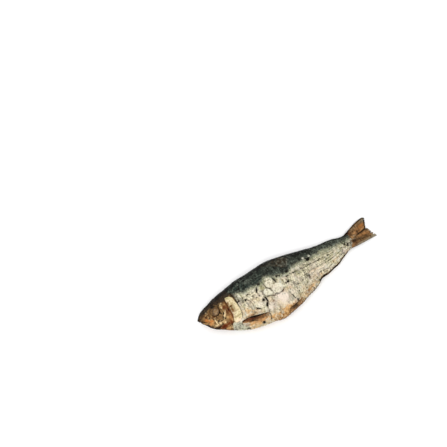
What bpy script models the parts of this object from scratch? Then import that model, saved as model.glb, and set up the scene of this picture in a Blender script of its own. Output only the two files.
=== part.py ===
"""A whole smoked sardine, lying on its right side with its left side up.

Metres, +Z up. The head points to -X, the tail to +X, the back to +Y and the belly to -Y.
The origin is on the surface that the fish lies on, under the middle of its bounding box.
The fish is modelled with its snout at x = 0 and y = 0, and is then moved onto its origin.
"""

import math

import bmesh
import bpy
import numpy as np
from mathutils import Vector

MM = 0.001

# The outline of the body: (distance from the snout, height), in millimetres.
BACK_LINE = (
    (0, 0), (2.6, 3.4), (8.6, 6.2), (17, 9.1), (26, 11.6), (39, 14.0), (56, 15.6),
    (73, 16.6), (90, 14.4), (101, 12.0), (120, 8.9), (133, 7.9), (142, 6.2), (152, 7.2),
)
BELLY_LINE = (
    (0, -0.4), (4.3, -7.0), (8.6, -12.3), (17, -18.1), (30, -25.3), (43, -29.2),
    (57, -30.7), (72, -30.7), (85, -28.0), (94, -25.2), (106, -20.6), (120, -15.7),
    (129, -13.4), (137, -9.4), (143, -7.6), (152, -7.7),
)
PELVIC_BULGE = {"at": 64 * MM, "width": 7 * MM, "depth": 1.6 * MM}
VENT_STEP = {"at": 107.2 * MM, "width": 0.6 * MM, "run": 5 * MM, "depth": 2.2 * MM}

# Half the thickness of the body, and the height of its middle plane, in millimetres.
HALF_THICKNESS = (
    (0, 1.4), (4, 3.5), (10, 5.8), (20, 8.1), (32, 9.8), (45, 10.8), (66, 11.0),
    (85, 10.2), (105, 7.7), (125, 4.9), (138, 3.3), (146, 2.0), (152, 0.5),
)
MIDDLE_HEIGHT = (
    (0, 7.4), (10, 8.1), (30, 8.9), (66, 9.3), (90, 8.9), (110, 7.3), (130, 5.2), (150, 3.9), (171, 3.0),
)
WIDEST_AT = 0.60  # how far up the widest place lies between the belly and the back
BACK_ROUNDNESS = (2.5, 0.50)
BELLY_ROUNDNESS = (2.2, 0.62)

TAIL_ROOT = 152 * MM
GILL_X = 34.0 * MM
GILL_COVER_PROUD = 0.8 * MM
GILL_GROOVE = 0.35 * MM
GILL_GROOVE_WIDTH = 0.5 * MM

EYE = {"x": 15.4 * MM, "y": -0.8 * MM, "radius": 4.3 * MM, "proud": 0.7 * MM, "depth": 1.9 * MM}
SOCKET = {"x": 15.4 * MM, "y": -0.8 * MM, "radius": 5.0 * MM, "proud": 0.7 * MM, "depth": 1.5 * MM}
MOUTH_CORNER = (8.2 * MM, -6.4 * MM)
MOUTH_GAPE = 0.9 * MM

RING_POINTS = 36
HEAD_RINGS = 17
TRUNK_RINGS = 47

# Fins: the two ends of the root and the two ends of the edge, (along, up) in millimetres.
TAIL_LOBES = {
    "upper_tail_lobe": (((144, 6.0), (144, -1.6)), ((166.4, 12.2), (163.6, 3.0))),
    "lower_tail_lobe": (((144, 0.6), (144, -7.4)), ((164.4, 1.3), (170.6, -7.3))),
}
TAIL_THICKNESS = 1.0 * MM
TAIL_LOBE_LIFT = {"upper_tail_lobe": 0.25 * MM, "lower_tail_lobe": -0.2 * MM}
DORSAL_FIN = (((61.5, 15.0), (82, 14.6)), ((83.5, 2.2), (88.8, 9.0)))
ANAL_FIN = (((109, -16.0), (136, -8.8)), ((117, -13.0), (141, -6.4)))
PECTORAL_FIN = (((30.6, -17.2), (31.8, -20.8)), ((55.2, -22.8), (52.6, -25.2)))
PELVIC_FIN = (((67.5, -28.4), (69, -30.6)), ((85.5, -25.0), (84, -27.0)))
LYING_FIN_PROUD = 0.55 * MM
FIN_ROOTED = 1.3 * MM  # how deep a lying fin reaches into the body


# --- the form of the body ---------------------------------------------------


def through(points, x):
    """A smooth curve through points given in millimetres, read at x in metres."""
    at, value = (np.array(column, float) * MM for column in zip(*points))
    slope = np.gradient(value, at)
    i = np.clip(np.searchsorted(at, x) - 1, 0, len(at) - 2)
    step = at[i + 1] - at[i]
    t = (np.clip(x, at[0], at[-1]) - at[i]) / step
    return (
        (2 * t**3 - 3 * t**2 + 1) * value[i]
        + (t**3 - 2 * t**2 + t) * step * slope[i]
        + (3 * t**2 - 2 * t**3) * value[i + 1]
        + (t**3 - t**2) * step * slope[i + 1]
    )


def after(x, at, width):
    """0 before a place and 1 after it, with a soft change over the width."""
    return 0.5 + 0.5 * math.tanh((x - at) / width)


def back(x):
    return through(BACK_LINE, x)


def belly(x):
    bulge = PELVIC_BULGE["depth"] * math.exp(-(((x - PELVIC_BULGE["at"]) / PELVIC_BULGE["width"]) ** 2))
    end = VENT_STEP["at"] + VENT_STEP["run"]
    vent = after(x, VENT_STEP["at"], VENT_STEP["width"]) - after(x, end, VENT_STEP["run"] / 2)
    return through(BELLY_LINE, x) - bulge + VENT_STEP["depth"] * max(vent, 0.0)


def section(x, turn, proud=0.0):
    """(y, z) on the body at x. The turn is 0 on the left flank and a quarter on the back."""
    widest = belly(x) + WIDEST_AT * (back(x) - belly(x))
    up = math.sin(turn)
    reach, (power, closing) = (
        (back(x) - widest, BACK_ROUNDNESS) if up > 0 else (widest - belly(x), BELLY_ROUNDNESS)
    )
    half = (through(HALF_THICKNESS, x) + proud) * max(0.0, 1 - abs(up) ** power) ** closing
    z = through(MIDDLE_HEIGHT, x) + math.copysign(half, math.cos(turn))
    return widest + reach * up, max(z, 0.0)  # the right flank is pressed flat where it rests


def flank(x, y, side):
    """The point of the body's surface over (x, y), on the left flank (1) or the right (-1)."""
    widest = belly(x) + WIDEST_AT * (back(x) - belly(x))
    reach = back(x) - widest if y > widest else widest - belly(x)
    turn = math.asin(max(-0.995, min(0.995, (y - widest) / reach)))
    return Vector((x, y, section(x, turn if side > 0 else math.pi - turn)[1]))


def gill_edge(y):
    """Where the gill cover ends: upright behind the cheek and swept forward at the throat."""
    throat = after(-y, 18 * MM, 2.4 * MM)
    crown = after(y, 7 * MM, 2.5 * MM)
    return GILL_X - 11.5 * MM * throat - 3 * MM * crown


def skin_point(ring, turn):
    """A point of the skin. Rings lean near the gill edge, and the gill covers stand proud."""
    if ring <= HEAD_RINGS:
        share = (ring / HEAD_RINGS) ** 1.35
        x, lean = share * GILL_X, share**3
        proud = GILL_COVER_PROUD * after(x, 22 * MM, 5 * MM)
    else:
        share = (ring - HEAD_RINGS - 1) / (TRUNK_RINGS - 1)
        x = GILL_X + GILL_GROOVE_WIDTH + share * (TAIL_ROOT - GILL_X - GILL_GROOVE_WIDTH)
        lean = math.exp(-share * 9)
        proud = -GILL_GROOVE * math.exp(-share * 25)
    level = section(x, turn)[0]
    x += lean * (gill_edge(level) - GILL_X)
    return Vector((x, *section(x, turn, proud)))


# --- pieces -----------------------------------------------------------------


def mesh_from(bm, name):
    bm.normal_update()
    bmesh.ops.recalc_face_normals(bm, faces=bm.faces)
    mesh = bpy.data.meshes.new(name)
    bm.to_mesh(mesh)
    bm.free()
    return mesh


def skin_mesh():
    """The body from the snout to the root of the tail fin: a sphere drawn out along the fish."""
    rings = HEAD_RINGS + TRUNK_RINGS + 1
    bm = bmesh.new()
    bmesh.ops.create_uvsphere(bm, u_segments=RING_POINTS, v_segments=rings, radius=1)
    for vert in bm.verts:
        ring = round(math.acos(max(-1.0, min(1.0, vert.co.z))) / math.pi * rings)
        if ring == 0:
            vert.co = Vector((-0.4 * MM, -0.2 * MM, through(MIDDLE_HEIGHT, 0)))
        elif ring == rings:
            vert.co = Vector((TAIL_ROOT + 0.5 * MM, back(TAIL_ROOT) / 2, through(MIDDLE_HEIGHT, TAIL_ROOT)))
        else:
            vert.co = skin_point(ring, math.atan2(vert.co.y, vert.co.x))
    mesh = mesh_from(bm, "skin")
    mesh.shade_smooth()
    return mesh


def lens_mesh(name, size, side):
    """A flattened ball set into the surface, for the eyeball and for its socket."""
    centre = flank(size["x"], size["y"], side)
    ahead = flank(size["x"] + 3 * MM, size["y"], side) - centre
    above = flank(size["x"], size["y"] + 3 * MM, side) - centre
    outward = ahead.cross(above).normalized() * side
    turned = Vector((0, 0, 1)).rotation_difference(outward).to_matrix()
    bm = bmesh.new()
    bmesh.ops.create_uvsphere(bm, u_segments=20, v_segments=8, radius=size["radius"])
    flat = size["depth"] / size["radius"]
    for vert in bm.verts:
        vert.co.z *= flat
        vert.co = turned @ vert.co + centre + outward * (size["proud"] - size["depth"])
    return mesh_from(bm, name)


def grid_slab(name, rays, steps, place):
    """A thin closed slab. place(across, along, upper) gives each point of its two faces."""
    bm = bmesh.new()
    made = bmesh.ops.create_grid(bm, x_segments=rays, y_segments=steps, size=0.5)["verts"]
    faces = list(bm.faces)
    grown = bmesh.ops.extrude_face_region(bm, geom=faces)["geom"]
    upper = [item for item in grown if isinstance(item, bmesh.types.BMVert)]
    for verts, is_upper in ((upper, True), (made, False)):
        for vert in verts:
            if vert.is_valid:
                vert.co = place(vert.co.x + 0.5, vert.co.y + 0.5, is_upper)
    return mesh_from(bm, name)


def on_outline(outline, across, along):
    """A point of a fin, in metres. across goes from its first ray to its last."""
    root, edge = outline
    start = Vector(root[0]).lerp(Vector(root[1]), across)
    return start.lerp(Vector(edge[0]).lerp(Vector(edge[1]), across), along) * MM


def tail_lobe_mesh(name, outline):
    """One lobe of the tail fin, thickest at its root, with shallow ridges for its rays."""

    def place(across, along, upper):
        x, y = on_outline(outline, across, along)
        ridge = 0.1 * MM * math.cos(across * 6 * math.tau)
        half = (TAIL_THICKNESS / 2 + ridge) * (1.15 - 0.35 * along)
        droop = 1.0 * MM * along * math.sin(2 * across)
        z = through(MIDDLE_HEIGHT, x) + TAIL_LOBE_LIFT[name] - droop + (half if upper else -half)
        return Vector((x, y, z))

    return grid_slab(name, 12, 7, place)


def lying_fin_mesh(name, outline, side):
    """A fin folded flat onto the flank, with its underside rooted in the body."""

    def place(across, along, upper):
        x, y = on_outline(outline, across, along)
        point = flank(x, y, side)
        ridge = 0.12 * MM * math.cos(across * 3 * math.tau)
        edge = 1 - 0.35 * along
        point.z += side * ((LYING_FIN_PROUD + ridge) * edge if upper else -FIN_ROOTED)
        point.z = max(point.z, 0.1 * MM)
        return point

    return grid_slab(name, 9, 9, place)


def mouth_mesh():
    """A thin wedge through the snout that parts the jaws."""
    bm = bmesh.new()
    bmesh.ops.create_cone(bm, cap_ends=True, segments=3, radius1=1, radius2=1, depth=30 * MM)
    open_end, corner = Vector((-2 * MM, 0.2 * MM)), Vector(MOUTH_CORNER)
    across = (corner - open_end).orthogonal().normalized() * MOUTH_GAPE / 2
    corners = (corner, open_end + across, open_end - across)
    for vert in bm.verts:
        index = round(math.atan2(vert.co.y, vert.co.x) / (math.tau / 3)) % 3
        vert.co = Vector((*corners[index], vert.co.z))
    return mesh_from(bm, "mouth")


# --- the fish ---------------------------------------------------------------


def skin_material():
    material = bpy.data.materials.new("smoked_skin")
    material.use_nodes = True
    shader = material.node_tree.nodes["Principled BSDF"]
    shader.inputs["Base Color"].default_value = (0.42, 0.35, 0.23, 1)
    shader.inputs["Roughness"].default_value = 0.42
    shader.inputs["Metallic"].default_value = 0.15
    return material


def combine(fish, helpers, mesh, operation="UNION"):
    """Joins a piece to the fish, or cuts it away, and keeps it as a hidden helper."""
    helper = bpy.data.objects.new(mesh.name, mesh)
    helper.hide_render = True
    helper.display_type = "WIRE"
    helpers.objects.link(helper)
    boolean = fish.modifiers.new(mesh.name, "BOOLEAN")
    boolean.operation = operation
    boolean.solver = "EXACT"
    boolean.object = helper


def stand_on_origin(objects, fish):
    """Moves everything so that the origin is under the middle of the fish's bounding box."""
    bpy.context.view_layer.update()
    finished = fish.evaluated_get(bpy.context.evaluated_depsgraph_get())
    corners = np.array([tuple(corner) for corner in finished.bound_box])
    low, high = corners.min(axis=0), corners.max(axis=0)
    for obj in objects:
        obj.location -= Vector(((low[0] + high[0]) / 2, (low[1] + high[1]) / 2, low[2]))


def main():
    for obj in list(bpy.data.objects):
        bpy.data.objects.remove(obj)
    collection = bpy.data.collections.new("smoked_fish")
    helpers = bpy.data.collections.new("joined_and_cutting_pieces")
    for made in (collection, helpers):
        bpy.context.scene.collection.children.link(made)

    fish = bpy.data.objects.new("fish", skin_mesh())
    fish.data.materials.append(skin_material())
    collection.objects.link(fish)

    combine(fish, helpers, mouth_mesh(), "DIFFERENCE")
    for side, word in ((1, "left"), (-1, "right")):
        combine(fish, helpers, lens_mesh(f"{word}_socket", SOCKET, side), "DIFFERENCE")
        combine(fish, helpers, lens_mesh(f"{word}_eye", EYE, side))
        combine(fish, helpers, lying_fin_mesh(f"{word}_pectoral_fin", PECTORAL_FIN, side))
        combine(fish, helpers, lying_fin_mesh(f"{word}_pelvic_fin", PELVIC_FIN, side))
    combine(fish, helpers, lying_fin_mesh("dorsal_fin", DORSAL_FIN, 1))
    combine(fish, helpers, lying_fin_mesh("anal_fin", ANAL_FIN, 1))
    for name, outline in TAIL_LOBES.items():
        combine(fish, helpers, tail_lobe_mesh(name, outline))
    stand_on_origin([fish, *helpers.objects], fish)


main()
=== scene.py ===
"""A whole smoked sardine on a pale floor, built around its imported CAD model.

Places on the fish are given in millimetres: how far along it is from the snout, and how high it is
above the level of the snout, towards the back. The fish lies on its right side.
"""

import math

import bpy
import numpy as np
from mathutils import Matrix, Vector


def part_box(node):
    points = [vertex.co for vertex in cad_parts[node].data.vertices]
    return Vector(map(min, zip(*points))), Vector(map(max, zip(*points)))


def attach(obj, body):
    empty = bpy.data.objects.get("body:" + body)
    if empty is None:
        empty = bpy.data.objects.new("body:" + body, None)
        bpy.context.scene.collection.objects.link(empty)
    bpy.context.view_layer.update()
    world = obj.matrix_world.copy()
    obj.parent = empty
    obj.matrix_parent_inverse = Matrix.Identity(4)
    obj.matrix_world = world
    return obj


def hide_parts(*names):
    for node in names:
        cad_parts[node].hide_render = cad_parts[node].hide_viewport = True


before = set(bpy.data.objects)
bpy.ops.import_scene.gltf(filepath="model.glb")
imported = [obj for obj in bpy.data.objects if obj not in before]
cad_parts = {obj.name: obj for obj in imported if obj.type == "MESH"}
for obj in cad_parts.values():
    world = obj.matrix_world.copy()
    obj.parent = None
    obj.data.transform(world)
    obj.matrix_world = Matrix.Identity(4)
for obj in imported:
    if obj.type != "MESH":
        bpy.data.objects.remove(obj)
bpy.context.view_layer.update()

# --- Trunk ----------------------------------------------------------------------------------------
# The trunk is flesh under a dried, scaled skin, from below the gill covers to the root of the tail.
# A ball is drawn out over the outline of the fish, ring by ring, and its scales, folds and cracks
# are pressed into it. The skin is painted by masks: one value a point for each stain or colour.

MM = 0.001
LEFT, RIGHT = 1, -1
cad_low, cad_high = (np.array(corner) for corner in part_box("fish"))
SNOUT = np.array([cad_low[0] + 0.4 * MM, cad_high[1] - 16.62 * MM, 0.0])

BACK_LINE = (
    (0, 0), (2.6, 3.4), (8.6, 6.2), (17, 9.1), (26, 11.6), (39, 14.0), (56, 15.6),
    (73, 16.6), (90, 14.4), (101, 12.0), (120, 8.9), (133, 7.9), (142, 6.2), (152, 7.2),
)
BELLY_LINE = (
    (0, -0.4), (4.3, -7.0), (8.6, -12.3), (17, -18.1), (30, -25.3), (43, -29.2),
    (57, -30.7), (72, -30.7), (85, -28.0), (94, -25.2), (106, -20.6), (120, -15.7),
    (129, -13.4), (137, -9.4), (143, -7.6), (152, -7.7),
)
HALF_THICKNESS = (
    (0, 1.4), (4, 3.5), (10, 5.8), (20, 8.1), (32, 9.8), (45, 10.8), (66, 11.0),
    (85, 10.2), (105, 7.7), (125, 4.9), (138, 3.3), (146, 2.0), (152, 0.5),
)
MIDDLE_HEIGHT = (
    (0, 7.4), (10, 8.1), (30, 8.9), (66, 9.3), (90, 8.9), (110, 7.3), (130, 5.2), (150, 3.9), (171, 3.0),
)
GILL_X = 34.0
TAIL_ROOT = 149.4
SCALE_ROWS = 14


def through(points, x):
    """A smooth curve through (along, value) points."""
    at, value = np.array(points, float).T
    slope = np.gradient(value, at)
    i = np.clip(np.searchsorted(at, x) - 1, 0, len(at) - 2)
    step = at[i + 1] - at[i]
    t = (np.clip(x, at[0], at[-1]) - at[i]) / step
    return (
        (2 * t**3 - 3 * t**2 + 1) * value[i]
        + (t**3 - 2 * t**2 + t) * step * slope[i]
        + (3 * t**2 - 2 * t**3) * value[i + 1]
        + (t**3 - t**2) * step * slope[i + 1]
    )


def after(x, at, width):
    """0 before a place and 1 after it, with a soft change over the width."""
    return 0.5 + 0.5 * np.tanh((x - at) / width)


def back(x):
    return through(BACK_LINE, x)


def belly(x):
    folded_fin = 1.6 * np.exp(-(((x - 64) / 7) ** 2))
    vent = 2.2 * np.maximum(after(x, 106.2, 0.5) - after(x, 112.2, 2.5), 0)
    return through(BELLY_LINE, x) - folded_fin + vent


def widest(x):
    return belly(x) + 0.6 * (back(x) - belly(x))


def fullness(up):
    """The thickness at a height, as a share of the most. The back is round, the belly a keel."""
    gone = np.abs(np.clip(up, -1, 1))
    return np.where(up > 0, np.sqrt(1 - gone**2.5), (1 - gone**2.2) ** 0.62)


# How far round the flank a height is: 0 on the back and 1 on the keel.
heights = np.cos(np.linspace(0, math.pi, 400))
steps = np.hypot(np.diff(np.where(heights > 0, 19.6, 29.4) * heights), np.diff(10.9 * fullness(heights)))
rounds = np.concatenate([[0], np.cumsum(steps)]) / steps.sum()


def on_skin(x, share, side, proud=0.0):
    """Places on the smooth skin, raised by proud. The share is 0 on the back and 1 on the keel."""
    up = np.interp(share, rounds, heights)
    middle = widest(x)
    y = middle + np.where(up > 0, back(x) - middle, middle - belly(x)) * up
    tip = np.sqrt(1 - (1 - (x / 3).clip(0, 1)) ** 2)  # the snout ends in a round tip
    half = (through(HALF_THICKNESS, x) * (0.1 + 0.9 * tip) + proud) * fullness(up)
    z = through(MIDDLE_HEIGHT, x) + side * half
    return np.stack([x, y, np.maximum(z, 0)], axis=-1)


def share_at(x, y):
    """How far round the flank a place is, from the back to the keel."""
    middle = widest(x)
    up = (y - middle) / np.where(y > middle, back(x) - middle, middle - belly(x))
    return np.interp(-up, -heights, rounds)


def gill_edge(y):
    """Where the gill cover ends: upright behind the cheek and swept forward at the throat."""
    return GILL_X - 11.5 * after(-y, 18, 2.4) - 3 * after(y, 7, 2.5)


def places(piece):
    """The points of a piece, in fish millimetres."""
    flat = np.empty(len(piece.data.vertices) * 3)
    piece.data.vertices.foreach_get("co", flat)
    return (flat.reshape(-1, 3) - SNOUT) / MM


def move_to(piece, points):
    """Moves the points of a piece to places in fish millimetres."""
    piece.data.vertices.foreach_set("co", (SNOUT + points * MM).ravel())
    piece.data.update()


def outwards(piece):
    """Turns every face of a piece outwards and smooths its shading."""
    bpy.ops.object.select_all(action="DESELECT")
    bpy.context.view_layer.objects.active = piece
    piece.select_set(True)
    bpy.ops.object.mode_set(mode="EDIT")
    bpy.ops.mesh.select_all(action="SELECT")
    bpy.ops.mesh.normals_make_consistent(inside=False)
    bpy.ops.object.mode_set(mode="OBJECT")
    bpy.ops.object.shade_smooth()


def push_out(piece, relief):
    """Pushes the points of a piece out along its surface by a relief, but never into the floor."""
    normals = np.empty(len(piece.data.vertices) * 3)
    piece.data.vertex_normals.foreach_get("vector", normals)
    moved = places(piece) + normals.reshape(-1, 3) * relief[:, None]
    moved[:, 2] = np.maximum(moved[:, 2], 0.0)
    move_to(piece, moved)


def drawn_out(name, rings, points, place):
    """A closed skin: a ball whose rings are moved to their places along the fish."""
    bpy.ops.object.select_all(action="DESELECT")
    bpy.ops.mesh.primitive_uv_sphere_add(segments=points, ring_count=rings, radius=1)
    piece = bpy.context.object
    piece.name = piece.data.name = name
    flat = np.empty(len(piece.data.vertices) * 3)
    piece.data.vertices.foreach_get("co", flat)
    ball = flat.reshape(-1, 3)
    ring = np.rint(np.arccos(ball[:, 2].clip(-1, 1)) / math.pi * rings)
    turn = np.arctan2(ball[:, 1], ball[:, 0]) / math.tau % 1
    turn = np.where((ring == 0) | (ring == rings), 0.26, turn)  # the poles, in the middle of the flank
    move_to(piece, place(ring / rings, turn))
    outwards(piece)
    return piece


def flank_of(turn, upper=0.6):
    """Side and share of a turn. More of the points go to the upper flank."""
    side = np.where(turn < upper, LEFT, RIGHT)
    return side, np.where(turn < upper, turn / upper, (1 - turn) / (1 - upper))


def wander(points, size, seed):
    """Smooth random values from -1 to 1 that change over about this many millimetres."""
    table = np.random.default_rng(seed).uniform(-1, 1, (31, 31, 31))
    scaled = points / size
    cell = np.floor(scaled).astype(int)
    part = scaled - cell
    part = part * part * (3 - 2 * part)
    total = np.zeros(len(points))
    for corner in np.ndindex(2, 2, 2):
        x, y, z = ((cell + corner) % 31).T
        total += np.prod(np.where(corner, part, 1 - part), axis=1) * table[x, y, z]
    return total


def from_line(x, y, line):
    """The distance of places from a line through points."""
    nearest = np.full(x.shape, 1e9)
    for (x0, y0), (x1, y1) in zip(line, line[1:]):
        dx, dy = x1 - x0, y1 - y0
        t = (((x - x0) * dx + (y - y0) * dy) / (dx * dx + dy * dy)).clip(0, 1)
        nearest = np.minimum(nearest, np.hypot(x - x0 - t * dx, y - y0 - t * dy))
    return nearest


def inside(x, y, outline):
    """How far inside a closed outline places are, below 0 outside it."""
    closed = outline + outline[:1]
    within = np.zeros(x.shape, bool)
    for (x0, y0), (x1, y1) in zip(closed, closed[1:]):
        within ^= ((y0 > y) != (y1 > y)) & (x < x0 + (x1 - x0) * (y - y0) / (y1 - y0 or 1))
    return from_line(x, y, closed) * np.where(within, 1, -1)


def blot(x, y, at, along, across, lean=0.0):
    """A soft round stain: 1 at its centre. Lean is its slope, in degrees."""
    c, s = math.cos(math.radians(lean)), math.sin(math.radians(lean))
    dx, dy = x - at[0], y - at[1]
    return np.exp(-(((c * dx + s * dy) / along) ** 2) - ((c * dy - s * dx) / across) ** 2)


def blots(x, y, marks, hard=1):
    """Many stains at once: each is its place, half length, half width, lean and strength."""
    total = np.zeros(x.shape)
    for at_x, at_y, along, across, lean, strength in marks:
        one = blot(x, y, (at_x, at_y), along, across, lean)
        total = np.maximum(total, strength * (1 - (1 - one) ** hard))
    return total


def scale_coat(points, side):
    """The overlapping scales: how high each place stands on its scale, and two values for each scale."""
    x, y = points[:, 0], points[:, 1]
    warp = points + 0.3 * np.stack([wander(points, 3.1, seed) for seed in (1, 2, 3)], axis=1)
    column = (warp[:, 0] - 20) / (2.7 - 0.8 * after(x, 105, 25))
    row = share_at(x, warp[:, 1]) * SCALE_ROWS
    random = np.random.default_rng(4).uniform(0, 1, (97, 89))
    first = np.full(x.shape, 1e9)
    height, tone, lone = np.zeros(x.shape), np.zeros(x.shape), np.zeros(x.shape)
    for j in (np.floor(row), np.floor(row) + 1):
        across = np.abs(row - j)
        rounding = 0.85 * (1 - np.sqrt(1 - (across / 0.63).clip(0, 1) ** 2))
        offset = 0.5 * (j % 2)
        i = np.floor(column - offset - 1 + rounding) + 1
        on_top = (across < 0.63) & (i + offset < first)
        left = i + offset + 1 - rounding - column
        key = (i.astype(int) * 7 + 13 * j.astype(int) + 31 * (side < 0)) % 97, j.astype(int) % 89
        first = np.where(on_top, i + offset, first)
        height = np.where(on_top, 1 - left, height)
        tone = np.where(on_top, random[key], tone)
        lone = np.where(on_top, random[(key[0] + 41) % 97, key[1]], lone)
    return height, tone, lone


# Cracks and folds in the left flank: lines of places, half width and depth.
CRACKS = (
    (((56.2, 1.4), (55.4, -2.0), (56.6, -7.0), (56.6, -11.0)), 0.34, 0.45),
    (((56.6, -11.0), (57.3, -15.0), (55.6, -17.6), (54.9, -20.6)), 0.55, 0.9),
    (((54.9, -20.6), (54.6, -24.4), (53.6, -28.6)), 0.50, 0.75),
    (((77.4, -15.6), (78.3, -20.5), (80.9, -25.4)), 0.42, 0.55),
    (((60.6, 1.4), (60.8, -2.8), (62.0, -5.4), (64.9, -8.6)), 0.45, 0.62),
    (((58.6, -11.8), (61.8, -12.2), (64.6, -13.6), (66.2, -12.6), (69.2, -14.0), (72.8, -13.0)), 0.55, 0.6),
    (((44.9, -8.6), (45.6, -12.0), (46.2, -15.2), (48.4, -17.0), (52.4, -18.4)), 0.48, 0.62),
    (((40.2, 2.6), (39.6, 0), (40.6, -3), (39.0, -6), (39.8, -10)), 0.42, 0.6),
    (((36.8, 1.5), (36.6, -3), (36.2, -7.5)), 0.34, 0.35),
    (((54.2, -1.0), (52.8, -4.6)), 0.45, 0.7),
    (((42.0, -3.0), (45.0, -2.6), (48.0, -3.4), (51.6, -3.2)), 0.40, 0.42),
    (((46.6, -7.4), (47.0, -11.5)), 0.34, 0.4),
    (((69.6, 0.4), (70.6, -3.6)), 0.60, 0.6),
    (((62.0, -16.4), (64.6, -20.4), (64.2, -24.6)), 0.30, 0.25),
    (((88.0, -4.2), (97.0, -4.3), (108, -4.0), (119, -3.3)), 0.40, 0.5),
    (((100.0, -8.0), (109, -8.2), (118, -7.8)), 0.34, 0.3),
    (((112, -13.4), (117, -13.6), (121, -12.4)), 0.34, 0.5),
    (((120, -8.0), (127, -6.8)), 0.34, 0.45),
    (((138.6, 1.0), (140.6, -2.0), (143.0, -4.4), (146.0, -4.4)), 0.40, 0.6),
    (((141.6, 1.4), (143.2, -1.4), (145.4, -3.0)), 0.36, 0.55), (((135, -6.2), (138.6, -6.6), (142, -5.9)), 0.36, 0.45),
    (((128, -9.6), (133, -8.2), (138, -7.4)), 0.32, 0.4), (((143.8, -6.0), (146.2, -6.4)), 0.4, 0.4),
    (((134.0, -1.8), (137.6, -3.2), (140.0, -4.2)), 0.34, 0.45), (((33.6, 2.0), (34.0, -1.0), (34.9, -4.5)), 0.28, 0.3),
)
# Old loose scales, big and smooth: their outlines, how pale, and the side, in degrees, where a highlight is painted on
# their rim.
PLATES = (
    (((63.2, 1.2), (64.6, 2.3), (67.0, 1.6), (69.0, -0.2), (68.0, -3.4), (65.4, -6.8), (62.6, -4.8),
      (62.2, -1.8)), 0.34, 175),
    (((57.9, -8.2), (59.0, -6.2), (60.4, -5.8), (62.2, -7.2), (64.0, -9.6), (63.2, -11.6), (60.8, -11.0),
      (58.2, -9.8)), 0.44, 100),
    (((65.4, -8.0), (67.0, -5.6), (70.4, -5.2), (73.0, -6.8), (73.6, -10.0), (72.2, -12.4), (68.8, -12.9),
      (65.8, -11.2)), 0.36, 20),
    (((46.9, -12.2), (49.2, -11.2), (52.6, -12.6), (53.2, -15.4), (51.2, -16.8), (48.2, -16.2)), 0.14, 150),
)
# Black pits and dark marks: place, half length, half width, lean in degrees and depth.
PITS = (
    (53.4, -2.8, 1.4, 0.55, 65, 1.0), (54.6, -12.5, 1.2, 0.8, 95, 1.0), (55.7, -16.9, 1.2, 0.75, 65, 1.0),
    (57.0, -13.2, 1.9, 0.45, 98, 0.9), (41.5, -5.7, 0.9, 0.8, 0, 1.0), (45.4, -2.2, 0.7, 0.6, 0, 0.8),
    (40.4, -3.1, 0.8, 0.8, 0, 0.5), (38.9, -5.8, 0.7, 0.9, 0, 0.5), (35.4, -3.9, 0.9, 0.6, 0, 0.6),
    (43.7, -7.1, 1.1, 0.5, -30, 0.6), (48.7, -6.0, 0.8, 0.8, 0, 0.5), (53.3, -8.0, 0.7, 0.7, 0, 0.7),
    (50.3, -8.1, 0.6, 0.5, 0, 0.5), (44.0, -18.2, 0.8, 0.8, 0, 0.4), (47.4, -16.7, 1.2, 0.6, -15, 0.6),
    (57.3, 0.7, 0.9, 0.8, 0, 0.9), (80.0, -8.6, 0.9, 0.8, 0, 1.0), (77.8, -8.8, 0.7, 0.7, 0, 0.6),
    (81.5, -4.2, 1.1, 0.6, -10, 0.8), (84.6, -3.4, 0.8, 0.5, 0, 0.6), (83.2, -1.0, 1.4, 0.6, 10, 0.9),
    (73.7, -0.4, 0.9, 0.7, 0, 0.9), (75.8, -1.0, 0.8, 0.5, -15, 0.8), (70.6, -2.9, 1.0, 1.4, 20, 0.45),
    (78.4, -21.2, 1.2, 0.5, 105, 0.6), (80.7, -25.0, 0.8, 0.7, 0, 0.7), (47.0, -28.0, 1.0, 0.6, -20, 1.0), (34.0, -26.2, 1.3, 0.4, -28, 0.7),
    (104.8, 0.8, 1.4, 0.8, 25, 1.0), (103.2, 2.2, 0.6, 0.6, 0, 0.7), (87.2, -3.8, 0.8, 0.6, 0, 0.5),
    (86.4, -13.9, 0.7, 0.6, 0, 0.5), (84.5, -16.7, 1.0, 0.5, -25, 0.5), (98.6, -2.2, 0.8, 0.6, 0, 0.5),
    (99.4, -12.4, 0.7, 0.7, 0, 0.45), (98.8, -17.3, 0.6, 0.5, 0, 0.5), (98.0, -22.6, 0.6, 0.7, 0, 0.5),
    (109.6, -13.2, 0.6, 0.6, 0, 0.5), (111.8, -4.2, 0.8, 0.5, 0, 0.5), (122.4, -3.6, 1.2, 0.6, -5, 0.5),
    (105.9, -18.9, 0.8, 0.6, 0, 0.7), (141.0, -1.2, 0.8, 0.8, 0, 0.5), (143.2, -2.8, 0.5, 1.0, 0, 0.6),
)
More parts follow.
